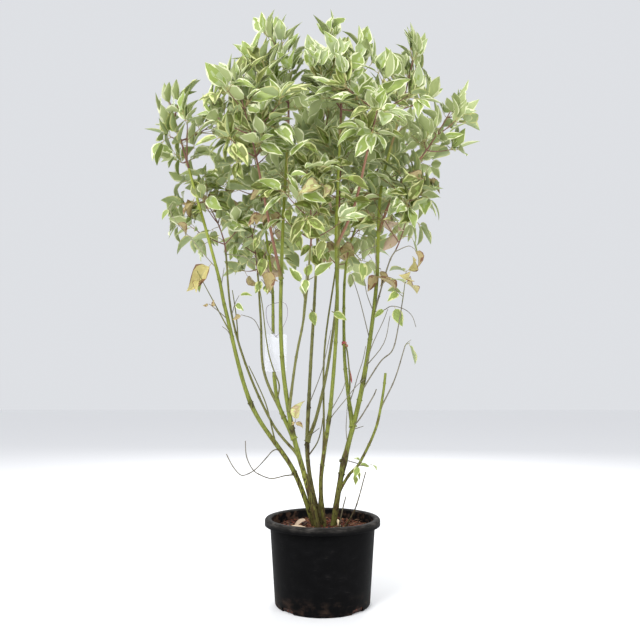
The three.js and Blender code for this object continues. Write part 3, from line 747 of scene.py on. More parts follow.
def evaluated(made):
    """A mesh of an object's final shape."""
    return bpy.data.meshes.new_from_object(made.evaluated_get(bpy.context.evaluated_depsgraph_get()))


def linked(name, data):
    """A new object in the scene."""
    made = bpy.data.objects.new(name, data)
    bpy.context.scene.collection.objects.link(made)
    return made


def smoothed(bm):
    for face in bm.faces:
        face.smooth = True
    return bm


def faces_of(verts):
    return {face for vert in verts for face in vert.link_faces}


def piece(bm, name, materials, slot, *nodes):
    """A finished mesh that rides on the plant and stands for the frame's nodes."""
    made = linked(name, mesh_from(bm, name))
    for material in materials:
        made.data.materials.append(material)
    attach(made, ROOT)
    if nodes:
        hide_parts(*nodes)
    return made


def joined(parts):
    """One bmesh from several, each with its own material number."""
    bm = bmesh.new()
    for number, part in enumerate(parts):
        known = len(bm.faces)
        mesh = mesh_from(part, "part")
        bm.from_mesh(mesh)
        bpy.data.meshes.remove(mesh)
        bm.faces.ensure_lookup_table()
        for face in bm.faces[known:]:
            face.material_index = number
    return bm


def tubes(strands, sides):
    """Round closed tubes, one for each strand of (place, radius) pairs in millimetres."""
    line = bpy.data.curves.new("strands", "CURVE")
    line.dimensions = "3D"
    line.bevel_depth = 1
    line.bevel_resolution = (sides - 4) // 2
    line.use_fill_caps = True
    for pairs in strands:
        spline = line.splines.new("POLY")
        spline.points.add(len(pairs) - 1)
        for point, (place, radius) in zip(spline.points, pairs):
            point.co = (*(place * MM), 1)
            point.radius = radius * MM
    maker = linked("strands", line)
    mesh = evaluated(maker)
    bpy.data.objects.remove(maker)
    bpy.data.curves.remove(line)
    bm = bmesh.new()
    bm.from_mesh(mesh)
    bpy.data.meshes.remove(mesh)
    bmesh.ops.remove_doubles(bm, verts=bm.verts, dist=0.002 * MM)
    return smoothed(bm)


def strand(path, radius, end_radius, pieces):
    shares = [k / pieces for k in range(pieces + 1)]
    return [(path.point(t), radius + (end_radius - radius) * t) for t in shares]


def turned(profile, steps=120):
    """A profile of (radius, height) pairs in millimetres, spun about the pot's axis."""
    bm = bmesh.new()
    ring = [bm.verts.new((radius * MM, 0, height * MM)) for radius, height in profile]
    edges = [bm.edges.new(pair) for pair in zip(ring, ring[1:])]
    bmesh.ops.spin(bm, geom=ring + edges, cent=(0, 0, 0), axis=(0, 0, 1), angle=math.tau, steps=steps,
                   use_merge=True)
    bmesh.ops.remove_doubles(bm, verts=bm.verts, dist=0.01 * MM)
    bmesh.ops.recalc_face_normals(bm, faces=bm.faces)
    return smoothed(bm)


def arc(centre, radius, start, end, steps):
    """Points on an arc of a profile, with angles in degrees."""
    angles = [math.radians(start + (end - start) * k / steps) for k in range(steps + 1)]
    return [(centre[0] + radius * math.cos(a), centre[1] + radius * math.sin(a)) for a in angles]


# Leaves: shares of a blade's length at which its mesh has rows, depth of its pleats, where the blade starts
# beyond the foot of the stalk, and the numbers of its five colours
ROWS = (0, 0.09, 0.26, 0.46, 0.66, 0.85, 1)
PLEAT = 0.009
BLADE_FROM = 0.15
LAST_ROW = len(ROWS) - 1
MARGIN, CENTRE, MARBLE, UNDER, STALK = range(5)


def leaf_outline(v, half_width):
    """Half the blade's width at a share v of its length: full near the base, drawn out at the tip."""
    return half_width * v**0.65 * (1 - v) ** 1.15 / 0.308


def leaf_template(name, seed, half_width, cream, droop, fold, ripple, twist):
    """One blade of unit length with its stalk, cream at the edge and green in the middle."""
    draw = seeded(seed)
    rows = range(len(ROWS))
    edge = [[1 - (0.12 * draw() if 0 < row < LAST_ROW else 0) for row in rows] for _ in (0, 1)]
    inner = [[1 - cream * draw(0.6, 1.4) * (0.55 if row % 2 else 1.25) for row in rows] for _ in (0, 1)]
    phase = [draw(0, math.tau) for _ in (0, 1)]

    def spot(across, row, drop=0.0):
        """The place of a grid point: across runs from -3 to 3, from edge to edge."""
        hand = 0 if across < 0 else 1
        rim = leaf_outline(ROWS[row], half_width) * edge[hand][row]
        part = (0, 0.42 * inner[hand][row], inner[hand][row], 1)[abs(across)]
        x = math.copysign(rim * part, across)
        bend = max(droop * ROWS[row], 1e-4)
        y = math.sin(bend) / max(droop, 1e-4)
        z = -(1 - math.cos(bend)) / max(droop, 1e-4) + fold * abs(x)
        z += ripple * part * rim / half_width * math.sin(phase[hand] + 9 * ROWS[row])
        if abs(across) in (1, 2):
            z += PLEAT * (-1) ** row * math.sin(math.pi * ROWS[row])
        z -= drop * (1 - part) * math.sin(math.pi * ROWS[row])
        turn = twist * ROWS[row]
        x, z = x * math.cos(turn) - z * math.sin(turn), z * math.cos(turn) + x * math.sin(turn)
        return Vector((x, y + BLADE_FROM, z))

    bm = bmesh.new()
    for columns, drop in ((6, 0.0), (4, 0.016)):
        known = len(bm.faces)
        made = bmesh.ops.create_grid(bm, x_segments=columns, y_segments=LAST_ROW, size=1)["verts"]
        bm.faces.ensure_lookup_table()
        for face in bm.faces[known:]:
            middle = face.calc_center_median()
            column = int((middle.x + 1) * columns / 2)
            outer = column in (0, columns - 1)
            if columns == 4:
                face.material_index = MARGIN if outer else UNDER
            elif outer:
                face.material_index = MARGIN
            elif column in (1, 4):
                face.material_index = (MARBLE, CENTRE, CENTRE, MARGIN)[int(draw(0, 3.6))]
            else:
                face.material_index = (CENTRE, CENTRE, MARBLE)[int(draw(0, 3))]
            face.tag = columns == 4
        for vert in made:
            step = round(vert.co.x * columns / 2)
            across = step if columns == 6 else (-3, -2, 0, 2, 3)[step + 2]
            vert.co = spot(across, round((vert.co.y + 1) * LAST_ROW / 2), drop)
        if drop:
            bmesh.ops.reverse_faces(bm, faces=bm.faces[known:])
    bmesh.ops.remove_doubles(bm, verts=bm.verts, dist=1e-5)
    smoothed(bm)
    for line in bm.edges:
        line.smooth = len({face.tag for face in line.link_faces}) == 1
    stalk = Matrix.Translation((0, 0.085, -0.004)) @ Matrix.Rotation(-math.pi / 2, 4, "X")
    made = bmesh.ops.create_cone(bm, segments=4, radius1=0.012, radius2=0.01, depth=0.19, cap_ends=True,
                                 matrix=stalk)["verts"]
    for face in faces_of(made):
        face.material_index = STALK
    return mesh_from(bm, name)


@cache
def leaf_templates():
    """Blades in many shapes: narrow and wide, with thin and broad cream edges; the first are the flattest,
    for the leaves that stand up, and later ones hang and roll more."""
    draw = seeded(77)
    fresh = [leaf_template(
        f"leaf_shape_{k}", 300 + k, half_width=draw(0.24, 0.32), cream=draw(0.12, 0.34), droop=0.1 + 0.08 * k,
        fold=draw(0.1, 0.5), ripple=draw(0.0, 0.025), twist=draw(-0.5, 0.5)) for k in range(14)]
    withered = [leaf_template(
        f"withered_shape_{k}", 400 + k, half_width=draw(0.24, 0.32), cream=draw(0.1, 0.2),
        droop=draw(0.3, 1.1), fold=draw(0.5, 1.2), ripple=draw(0.02, 0.03), twist=draw(-0.8, 0.8))
        for k in range(4)]
    return {"fresh": fresh, "withered": withered}


# Each kind of leaf takes five colours: edge, middle, marbling, underside and stalk
LEAF_KINDS = {
    "bright": ("cream", "green", "sage", "pale_under", "stalk"),
    "silvery": ("cream", "sage", "green", "pale_under", "stalk"),
    # The shaded kind paints shade: a darker edge and middle than the bright kind's
    "shaded": ("butter", "moss", "green", "sage", "stalk"),
    "young": ("cream", "lime", "green", "lime", "stalk"),
    "plain": ("butter", "lime", "green", "lime", "stalk"),
    "yellow": ("brown", "yellow", "yellow", "yellow", "stalk"),
    "tan": ("brown", "tan", "tan", "tan", "brown"),
    "faded": ("tan", "butter", "tan", "straw", "brown"),
    "straw": ("straw", "straw", "straw", "straw", "brown"),
}
WITHERED_KINDS = ("yellow", "tan", "faded", "straw")
LEAF_COLOURS = list(LeafSettings.__annotations__)
UPRIGHT_SHAPES = 8


@cache
def leaf_finishes():
    """The plain colours of leaves, in the order of their material numbers."""
    settings = bpy.context.scene.dogwood_leaf
    return [plain_finish("leaf_" + name, getattr(settings, name), 0.55) for name in LEAF_COLOURS]


def joined_leaves(leaves, shapes):
    """One mesh of many leaves, each a copy of a shape turned to its place and given its kind's colours."""
    bm = bmesh.new()
    for k, leaf in enumerate(leaves):
        withered = leaf.kind in WITHERED_KINDS
        stock = shapes["withered" if withered else "fresh"]
        if leaf.along.z > 0.3 and not withered:
            stock = stock[:UPRIGHT_SHAPES]
        known_verts, known_faces = len(bm.verts), len(bm.faces)
        bm.from_mesh(stock[k * 5 % len(stock)])
        bm.verts.ensure_lookup_table()
        bm.faces.ensure_lookup_table()
        side = leaf.along.cross(leaf.up).normalized()
        turn = Matrix((side, leaf.along, side.cross(leaf.along))).transposed().to_4x4()
        size = Matrix.Scale(leaf.length * MM, 4)
        bmesh.ops.transform(bm, matrix=Matrix.Translation(leaf.root * MM) @ turn @ size,
                            verts=bm.verts[known_verts:])
        numbers = [LEAF_COLOURS.index(name) for name in LEAF_KINDS[leaf.kind]]
        for face in bm.faces[known_faces:]:
            face.material_index = numbers[face.material_index]
    return bm


# Low sprigs hold single leaves: their size against the source's, and their kinds in the order in which they
# grow, with None for one that has dropped
SPRIGS = {
    "sprig_left": (1, (None, "yellow", None, None, None, "plain")),
    "sprig_front": (1.15, ("plain", "young", "plain", "young", "young", "shaded", "plain", "young", "plain")),
    "sprig_right": (1.3, (None, None, "shaded")),
    "sprig_right_high": (1.2, ("yellow", "plain", "shaded", "yellow", "shaded", "yellow", "plain", "tan",
                               None, None, None, "yellow")),
    "sprig_low": (1, ("shaded", None, "plain", "young", "young", None, None, None, "shaded", None, None, None,
                      "young", None)),
}

# Three canes show through the front of the crown, each from a low to a high point in millimetres; no leaf
# stands within a lane before them, as seen from the front
SHOWN_CANES = (("cane_front_left", 880, 1165), ("cane_front", 880, 1090), ("cane_right", 880, 1095))
FRONT = Vector((-6.5, -1670.5, 514.2))
LANE = 9

# Heights in millimetres: leaves wither below the first, turn greyer and brighter from the second over a rise,
# as painted light, and hang below the crown's middle and stand above it
WITHER_BELOW = 1090
BRIGHT_FROM = 1110
BRIGHT_RISE = 300
CROWN_MIDDLE = 1190
CROWN_HALF = 180


def kind_for(height, draw):
    """Painted light and shade: brighter, greyer leaves high up and deeper green, shaded ones lower down."""
    light = min(1, max(0, (height - BRIGHT_FROM) / BRIGHT_RISE))
    pick = draw()
    if height < WITHER_BELOW and pick > 0.91:
        return "tan" if pick > 0.955 else "faded"
    for share, kind in ((0.05, "young"), (0.15 + 0.3 * light, "silvery"), (0.45 + 0.5 * light, "bright")):
        if pick < share:
            return kind
    return "shaded"


@cache
def lanes():
    """The foot, the way up and the sideways direction of each stretch of cane that shows at the front."""
    found = []
    for name, low, high in SHOWN_CANES:
        path = LIMBS[name].path
        foot, top = (path.point(share_at_height(path, height)) for height in (low, high))
        found.append((foot, top - foot, (top - foot).cross(FRONT - foot).normalized()))
    return found


def before_cane(root, way, length):
    """Whether a leaf would stand in front of a cane that shows through the crown."""
    for foot, rise, across in lanes():
        for forward in (0.3, 0.65, 1):
            place = root + way * forward * length
            nearer = (foot.y - FRONT.y) / (place.y - FRONT.y)
            height = FRONT.z + (place.z - FRONT.z) * nearer
            if nearer > 1 and 0 < height - foot.z < rise.z and abs(across.dot(place - foot)) < LANE:
                return True
    return False


def around(away, angle, height):
    """A place by its distance from the pot's axis and its direction."""
    return Vector((away * math.cos(angle), away * math.sin(angle), height))


def square_to(along, up):
    """A direction turned as little as it takes to be square to another."""
    return (up - along * up.dot(along)).normalized()


def heart_of(leaf):
    return leaf.root + leaf.along * 0.6 * leaf.length


def blade(mass, root, way, length, kind, draw):
    """A leaf that shows its face outwards: it stands up at the top of the crown and hangs lower down.

    None where it would leave the mass's space, meet a limb or hide a cane that shows."""
    outward = Vector((root.x, root.y, 0)).normalized()
    lift = min(1, max(-1, (root.z - CROWN_MIDDLE) / CROWN_HALF))
    way = way - outward * 0.45 * way.dot(outward)
    way.z += (0.8 if lift > 0 else 0.4) * lift + draw(-0.3, 0.2)
    way.normalize()
    up = square_to(way, Vector((draw(-0.4, 0.4), draw(-0.4, 0.4), 0.7)) + outward * draw(0.3, 1.5))
    tip = root + way * 1.15 * length
    if not in_space(mass, tip, -OUT_OF_SPACE) or not clear_of_limbs(tip, 2):
        return None
    if not clear_of_limbs(root + way * 0.6 * length, 3) or before_cane(root, way, length):
        return None
    return Leaf(root, way, up, length, kind)


def sprig(mass, start, along, up, reach, draw):
    """A twiglet with a pair of leaves and a last one at its end, and a second pair on a long one."""
    lift = Vector((0, 0, 0.5 * min(1, max(-0.2, (start.z - 1150) / 300))))
    way_up = (along + lift).normalized()
    end = start + way_up * reach
    twiglet = Bow(start, end, start + along * 0.5 * reach)
    side = up.cross(way_up).normalized()
    kind = kind_for(start.z, draw)
    full = LEAF_LENGTH * mass.leaf
    rows = [(end, -draw(0.6, 1.1), END_LEAF), (end, draw(0.6, 1.1), END_LEAF),
            (end, draw(-0.25, 0.25), LAST_LEAF)]
    if reach > LONG_TWIGLET * mass.leaf:
        middle = twiglet.point(0.55)
        rows += [(middle, -draw(0.9, 1.3), BACK_LEAF), (middle, draw(0.9, 1.3), BACK_LEAF)]
    leaves = []
    for root, angle, size in rows:
        length = size * full * draw(0.8, 1.15)
        leaves.append(blade(mass, root, swung(way_up, side, angle), length, kind, draw))
    return twiglet, [leaf for leaf in leaves if leaf]


def tip_leaves(mass, path, draw):
    """The growing tip of a shoot: two pairs of leaves that stand up."""
    ahead, across, over = frame_at(path, 1)
    axis = (ahead + Vector((0, 0, 0.7))).normalized()
    end = path.point(1)
    kind = kind_for(end.z + 100, draw)
    turn = draw(0, math.pi)
    leaves = []
    for spread, size in TIP_PAIRS:
        for handed in (-1, 1):
            angle = spread * draw(0.8, 1.3)
            outward = swung(across, over, turn) * handed
            way = swung(axis, outward, angle).normalized()
            up = square_to(way, axis - outward * 0.3 + Vector((end.x, end.y, 0)).normalized())
            length = size * LEAF_LENGTH * mass.leaf * draw(0.85, 1.15)
            tip = end + way * 1.12 * length
            if in_space(mass, tip, -10) and clear_of_limbs(tip, 3) and not before_cane(end, way, length):
                leaves.append(Leaf(end, way, up, length, kind))
        turn += math.pi / 2
    return leaves


def in_crown(place):
    """Whether a place is in one of the spaces that finer twigs fill."""
    return any(
        sum(((place[k] - middle[k]) / reach[k]) ** 2 for k in range(3)) < 1 for middle, reach in FILLED)


def filling(mass, paths, leaves, draw):
    """Finer twigs on the shoots, wherever the leaves still stand apart."""
    hearts = [heart_of(leaf) for leaf in leaves]
    twigs, added = [], []
    for _ in range(FILL_TRIES if mass.leaf == 1 else 0):
        path = paths[int(draw(0, len(paths) - 0.01))]
        t = draw(0.15, 1)
        ahead, across, over = frame_at(path, t)
        angle = draw(0.5, 1.2)
        along = swung(ahead, swung(across, over, draw(0, math.tau)), angle)
        along.z += 0.25
        along.normalize()
        start = path.point(t)
        reach = draw(*FILL_LENGTHS)
        end = start + along * reach
        if not in_crown(end) or not in_space(mass, end, 4) or not clear_of_limbs(end, 5):
            continue
        beyond = end + along * 25
        if any((heart - beyond).length < FILL_SPACING for heart in hearts):
            continue
        twiglet, grown = sprig(mass, start, along, square_to(along, Vector((0, 0, 1))), reach, draw)
        if len(grown) > 1:
            twigs.append(twiglet)
            added += grown
            hearts += [heart_of(leaf) for leaf in grown]
    return twigs, added


def dress(mass, seed):
    """Leaves, and twigs of each bark, of one mass."""
    draw = seeded(seed + 500)
    size, kinds = SPRIGS.get(mass.name, (1, None))
    kinds = iter(kinds or ())
    single = mass.name in SPRIGS
    woody, leaves, twigs, paths = [], [], [], []
    for k, made in enumerate(grow(mass, seed)):
        path = made.path
        if k:
            sag = Vector((0, 0, -0.05 * (path.end - path.start).length))
            path = Bow(path.start, path.end, path.knee + 2 * sag)
        known = len(leaves)
        for spray in made.sprays:
            start = path.point(spray.t)
            if single:
                kind = next(kinds)
                leaf = kind and blade(mass, start, spray.along, size * spray.length / 1.15, kind, draw)
                leaves += [leaf] if leaf else []
                continue
            twiglet, grown = sprig(mass, start, spray.along, spray.up, 0.32 * spray.length, draw)
            if grown:
                twigs.append(twiglet)
                leaves += grown
        if not single:
            leaves += tip_leaves(mass, path, draw)
        if k == 0 or len(leaves) > known:
            woody.append(strand(path, made.radius, made.radius * (1 - SHOOT_TAPER) * 0.7, 5 if k else 10))
        paths.append(path)
    more_twigs, more_leaves = filling(mass, paths, leaves, draw)
    soft = [strand(twig, 1.1 * mass.leaf, 0.7 * mass.leaf, 3) for twig in twigs + more_twigs]
    return woody, soft, leaves + more_leaves


# Operators
class DOGWOOD_OT_pot(Operator):
    """Mould the black pot: a tapered wall, a rolled lip and four notches at the foot"""

    bl_idname = "dogwood.pot"
    bl_label = "Pot"

    def execute(self, context):
        settings = context.scene.dogwood_pot
        wall_top, lip_foot = RIM_RADIUS - LIP_REACH, POT_HEIGHT - LIP_DEPTH
        profile = [(0, 0)]
        for bend in (
                ((BASE_RADIUS - 4, 4), 4, -90, 0, 4),
                ((wall_top - 0.6, lip_foot - 1), 0.8, 0, 40, 1),
                ((wall_top + 2, lip_foot + 4), 2, 180, 90, 3),
                ((RIM_RADIUS - 4.5, lip_foot + 4), 2, 90, 0, 3),
                ((RIM_RADIUS - 1.3, lip_foot + 1.3), 1.3, 180, 360, 5),
                ((RIM_RADIUS - 7, POT_HEIGHT - 7), 7, 0, 90, 8),
                ((RIM_RADIUS - 11, POT_HEIGHT - 7), 7, 90, 155, 5)):
            profile += arc(*bend)
        profile += [(wall_top - WALL, POT_HEIGHT - 14), (BASE_RADIUS - WALL, 6), (BASE_RADIUS - 5, BASE)]
        profile.append((0, BASE))
        bm = turned(profile)
        for face in bm.faces:
            middle = face.calc_center_median()
            inwards = face.normal.x * middle.x + face.normal.y * middle.y < 0
            face.material_index = int(inwards and middle.z < (POT_HEIGHT - 6) * MM)
        shell = piece(bm, "pot_shell", [self.plastic(settings), self.inside(settings)], "pot", "pot")
        for k in range(4):
            self.notch(shell, (k + 0.5) * math.pi / 2)
        shell.data.set_sharp_from_angle(angle=math.radians(35))
        return {"FINISHED"}

    def notch(self, shell, angle):
        """Cut one rounded notch through the foot of the wall."""
        bm = bmesh.new()
        bmesh.ops.create_cube(bm, size=1, matrix=Matrix.Diagonal((*NOTCH * MM, 1)))
        upright = [e for e in bm.edges if abs(e.verts[0].co.x - e.verts[1].co.x) > NOTCH.x / 2 * MM]
        bmesh.ops.bevel(bm, geom=upright, offset=4 * MM, segments=3, profile=0.5, affect="EDGES", material=-1)
        place = Matrix.Rotation(angle, 4, "Z") @ Matrix.Translation((BASE_RADIUS * MM, 0, 0))
        bmesh.ops.transform(bm, matrix=place, verts=bm.verts)
        cutter = linked("notch", mesh_from(bm, "notch"))
        cut = shell.modifiers.new("notch", "BOOLEAN")
        cut.operation, cut.solver, cut.object = "DIFFERENCE", "EXACT", cutter
        left = evaluated(shell)
        shell.modifiers.clear()
        shell.data = left
        bpy.data.objects.remove(cutter)

    def inside(self, settings):
        """The same plastic where the mix has left its dust."""
        finish = Finish("dusty_plastic", 0.8, Specular_IOR_Level=0.05)
        dusty = finish.noise(70, 5).between(0.44, 0.64)
        finish.paint(times(2.5, settings.plastic), (settings.dust, dusty))
        return finish.material

    def plastic(self, settings):
        finish = Finish("black_plastic", 0.5, Specular_IOR_Level=0.035)
        height = finish.height()
        grain = finish.noise(900, 2)
        wear = finish.noise(38, 5, 1.6)
        scratches = finish.noise(60, 4, 12)
        rubbed = wear * 0.5 + scratches * 0.6
        lip = height.between(0.197, 0.211)
        dust = (0.05 - height).between(0, 0.05) * wear.between(0.45, 0.7)
        # The lip is lighter all round: real scuffs, and a painted highlight on the rolled lip
        lip_wear_and_highlight = lip * (0.1 + rubbed.between(0.5, 0.75) * 0.4)
        marked = rubbed.between(0.66, 0.74) * 0.05
        finish.paint(settings.plastic, (times(1.5, settings.plastic), wear.between(0.35, 0.7)),
                     (settings.scuff, lip_wear_and_highlight + marked), (settings.dust, dust * 0.4))
        finish.set("Roughness", 0.42 + wear * 0.2 + lip_wear_and_highlight * 0.15)
        finish.bump(grain * 0.5 + scratches * lip_wear_and_highlight, 0.0003)
        return finish.material


class DOGWOOD_OT_mix(Operator):
    """Fill the pot with bark mix: a bumpy bed and the chips that lie on it"""

    bl_idname = "dogwood.mix"
    bl_label = "Bark mix"

    def execute(self, context):
        settings = context.scene.dogwood_pot
        foot, shoulder = BASE_RADIUS - WALL - 0.6, SOIL_LEVEL - 12
        edge = foot + LEAN / POT_HEIGHT * shoulder - CLEAR
        profile = [(0, BASE + CLEAR), (foot, BASE + CLEAR), (edge, shoulder)]
        profile += [(edge - 3 * k, shoulder + 2 * k) for k in range(1, 4)]
        profile += [(edge * (1 - k / 26), SOIL_LEVEL - 4 + 4 * min(1, k / 8)) for k in range(3, 27)]
        bm = turned(profile)
        for vert in bm.verts:
            if vert.co.z > (shoulder + 1) * MM:
                bump = noise.fractal(vert.co * 60, 1, 2, 4)
                vert.co.z += settings.relief * min(0.3, bump - 0.5)
        bed = Finish("bark_mix", 0.9)
        crumbs = bed.noise(160, 6)
        bed.paint(settings.mix, (settings.chip, crumbs.between(0.5, 0.72)),
                  # The darkest coat lies where the relief is lowest: painted shade in its hollows
                  (times(0.3, settings.mix), (0.46 - crumbs).between(0, 0.12)))
        bed.bump(crumbs, 0.003)
        piece(bm, "bark_mix_bed", [bed.material], "potting_mix", "potting_mix")
        self.chips(settings, edge)
        self.fibres(edge)
        self.fallen()
        return {"FINISHED"}

    def chips(self, settings, edge):
        """Flat shards of bark, scattered by a seeded rule."""
        draw = seeded(31)
        bm = bmesh.new()
        for _ in range(settings.chips):
            away = (edge - 6) * math.sqrt(draw(0.004, 1))
            angle = draw(0, math.tau)
            level = SOIL_LEVEL - 2.5 - 7 * max(0, away / edge - 0.82) / 0.18
            place = around(away, angle, level + draw(0, 4)) * MM
            turn = Matrix.Rotation(draw(0, math.tau), 4, "Z") @ Matrix.Rotation(draw(-0.5, 0.5), 4, "X")
            size = Matrix.Diagonal((draw(3, 12) * MM, draw(2, 6) * MM, draw(1, 3) * MM, 1))
            made = bmesh.ops.create_cube(bm, size=1, matrix=Matrix.Translation(place) @ turn @ size)["verts"]
            for vert in made:
                vert.co += Vector((draw(-1, 1), draw(-1, 1), draw(-0.5, 0.5))) * 1.2 * MM
            tint = min(3, int(draw(0, 4.6) * draw(0.5, 1)))
            for face in faces_of(made):
                face.material_index = tint
        shades = {"dark": settings.mix, "brown": (0.078, 0.028, 0.014), "red": settings.chip,
                  "tan": (0.21, 0.09, 0.04)}
        finishes = [plain_finish("chip_" + name, shade, 0.9, Specular_IOR_Level=0.2)
                    for name, shade in shades.items()]
        piece(bm, "bark_chips", finishes, "potting_mix")

    def fibres(self, edge):
        """Fine fibres, and a pale cut stub beside the right cane."""
        draw = seeded(47)
        fibres = []
        for _ in range(46):
            away, angle, turn = edge * 0.92 * math.sqrt(draw(0.02, 1)), draw(0, math.tau), draw(0, math.tau)
            start = around(away, angle, SOIL_LEVEL + draw(-1, 2))
            reach = around(1, turn, 0) * draw(10, 30)
            end = start + reach
            end *= min(1, 0.95 * edge / Vector((end.x, end.y)).length)
            end.z = start.z
            knee = (start + end) / 2 + Vector((-reach.y, reach.x, draw(2, 12))) * draw(-0.5, 0.5)
            knee.z = start.z + draw(0, 9)
            fibres.append(strand(Bow(start, end, knee), draw(0.35, 0.6), 0.3, 5))
        stub = [(Vector((x, -14, SOIL_LEVEL + rise)), radius)
                for x, rise, radius in ((44, -6, 4.2), (41, 13, 3.8), (39, 18, 1.6))]
        finishes = [plain_finish("fibre", (0.26, 0.16, 0.09), 0.85),
                    plain_finish("cut_wood", (0.85, 0.7, 0.46), 0.8)]
        piece(joined([tubes(fibres, 4), tubes([stub], 10)]), "litter_on_mix", finishes, "potting_mix")

    def fallen(self):
        """Two fallen leaves: one curled and one flat."""
        shapes = [leaf_template(name, seed, half_width, 0.1, bend, fold, 0.02, twist)
                  for name, seed, half_width, bend, fold, twist in (
                      ("curled_leaf", 500, 0.23, 0.5, 0.7, 0.3), ("flat_leaf", 501, 0.12, 0.2, 0.2, 0.2))]
        leaves = []
        for root, way, up, length in (
                ((-38, -8, SOIL_LEVEL + 17), (-0.94, -0.1, -0.32), (-0.25, -0.42, 0.87), 38),
                ((-90, -46, SOIL_LEVEL + 8), (0.98, -0.17, 0), (0, -0.35, 0.94), 54)):
            along = Vector(way).normalized()
            leaves.append(Leaf(Vector(root), along, square_to(along, Vector(up)), length, "straw"))
        piece(joined_leaves(leaves, {"withered": shapes}), "fallen_leaves", leaf_finishes(), "foliage")


def hump(distance, reach):
    """1 at a place, and less with the distance from it on both sides."""
    return math.exp(-((distance / reach) ** 2))


class DOGWOOD_OT_limbs(Operator):
    """Sheathe the canes, boughs and bare twigs in bark with rings, buds and fine ridges"""

    bl_idname = "dogwood.limbs"
    bl_label = "Canes, boughs and twigs"

    def execute(self, context):
        gap = context.scene.dogwood_bark.ring_gap / MM
        for seed, limb in enumerate(LIMBS.values()):
            bm = self.sheathed(limb, seeded(seed + 40), gap)
            slot = "green_bark" if limb.bark == "olive" else limb.bark + "_bark"
            piece(bm, "bark_of_" + limb.name, [bark_of(limb.bark)], slot, limb.name)
        return {"FINISHED"}

    def sheathed(self, limb, draw, gap):
        steps = round(length_of(limb.path) / gap)
        places = [limb.path.point(k / steps) for k in range(steps + 1)]
        along = [0]
        for here, there in zip(places, places[1:]):
            along.append(along[-1] + (there - here).length)
        thick = limb.foot > THICK
        joints = self.joints(along[-1], thick, draw)
        knobs = [row[1:] for row in KNOBS if row[0] == limb.name]
        radii = []
        for k in range(steps + 1):
            swell = JOINT_SWELL * sum(hump(along[k] - joint, JOINT_REACH) for joint in joints)
            swell += sum(knob * hump(places[k].z - height, KNOB_REACH) for height, knob, stub in knobs)
            collar = COLLAR_SWELL * math.exp(-along[k] / COLLAR_REACH) if limb.start else 0
            radii.append(limb.radius_at(k / steps) * (1 + swell + collar))
        strands = [list(zip(places, radii))]
        strands += self.stubs(places, radii, knobs)
        strands += self.buds(limb.path, places, along, radii, joints, draw)
        bm = tubes(strands, 12 if thick else 8)
        depth, fade = 0.35 if thick else 0.15, 14 if limb.start else 1
        self.ridge(bm, places, along, joints, [row[0] for row in knobs], depth, fade)
        return bm

    def joints(self, length, thick, draw):
        """How far along a limb its joints are."""
        found = []
        reach = draw(45, 80)
        while reach < length - 10:
            found.append(reach)
            reach += draw(70, 125) if thick else draw(35, 60)
        return found

    def stubs(self, places, radii, knobs):
        """A cut stub on each knob."""
        for height, knob, way in knobs:
            k = min(range(len(places)), key=lambda n: abs(places[n].z - height))
            out = Vector(way).normalized()
            yield [(places[k] + out * far * radii[k], wide * radii[k]) for far, wide in STUB]

    def buds(self, path, places, along, radii, joints, draw):
        """Two opposite buds at each joint, each pair square to the last."""
        turn = draw(0, math.pi)
        for joint in joints:
            k = min(range(len(places)), key=lambda n: abs(along[n] - joint))
            ahead, across, over = frame_at(path, k / (len(places) - 1))
            for handed in (-1, 1):
                out = swung(across, over, turn) * handed
                base = places[k] + out * radii[k] * 0.6
                bud = base + out * radii[k] * 0.6 + ahead * draw(2, 4)
                yield [(base, radii[k] * 0.3), (bud, radii[k] * 0.14)]
            turn += math.pi / 2

    def ridge(self, bm, places, along, joints, knobs, depth, fade):
        """Fine ridges along the bark, and the attributes that darken rings and knobs and tint the foot."""
        scar = bm.verts.layers.float.new("scar")
        foot = bm.verts.layers.float.new("foot")
        tree = KDTree(len(places))
        for k, place in enumerate(places):
            tree.insert(place * MM, k)
        tree.balance()
        bm.normal_update()
        moves = []
        for vert in bm.verts:
            k = tree.find(vert.co)[1]
            near = min((abs(along[k] - joint - 1) for joint in joints), default=along[-1])
            # Knobs darken the bark with real marks, and on the front cane with a painted crotch shadow
            dark = max((hump(places[k].z - knob, KNOB_DARK) for knob in knobs), default=0)
            vert[scar] = max(0, 0.6 - near / RING_REACH, 1.1 * dark)
            vert[foot] = math.exp(-along[k] / fade)
            where = Vector((vert.co.x * 260, vert.co.y * 260, vert.co.z * 22))
            moves.append(vert.normal * noise.noise(where) * depth * MM)
        for vert, move in zip(bm.verts, moves):
            vert.co += move


class DOGWOOD_OT_foliage(Operator):
    """Grow every mass on to fine twigs and cream-edged leaves"""

    bl_idname = "dogwood.foliage"
    bl_label = "Foliage"

    def execute(self, context):
        settings = context.scene.dogwood_bark
        wood = [plain_finish(name + "_twig", getattr(settings, name), 0.6) for name in ("woody", "soft")]
        for seed, mass in enumerate(MASSES, 1):
            woody, soft, leaves = dress(mass, seed)
            leafy = joined_leaves(leaves, leaf_templates())
            piece(leafy, "leaves_of_" + mass.name, leaf_finishes(), "foliage", mass.name)
            if mass.name in SPRIGS:
                piece(tubes(woody + soft, 6), "twigs_of_" + mass.name, [bark_of("olive")], "green_bark")
            else:
                twigs = joined([tubes(woody, 6), tubes(soft, 4)])
                piece(twigs, "twigs_of_" + mass.name, wood, "red_bark")
        return {"FINISHED"}


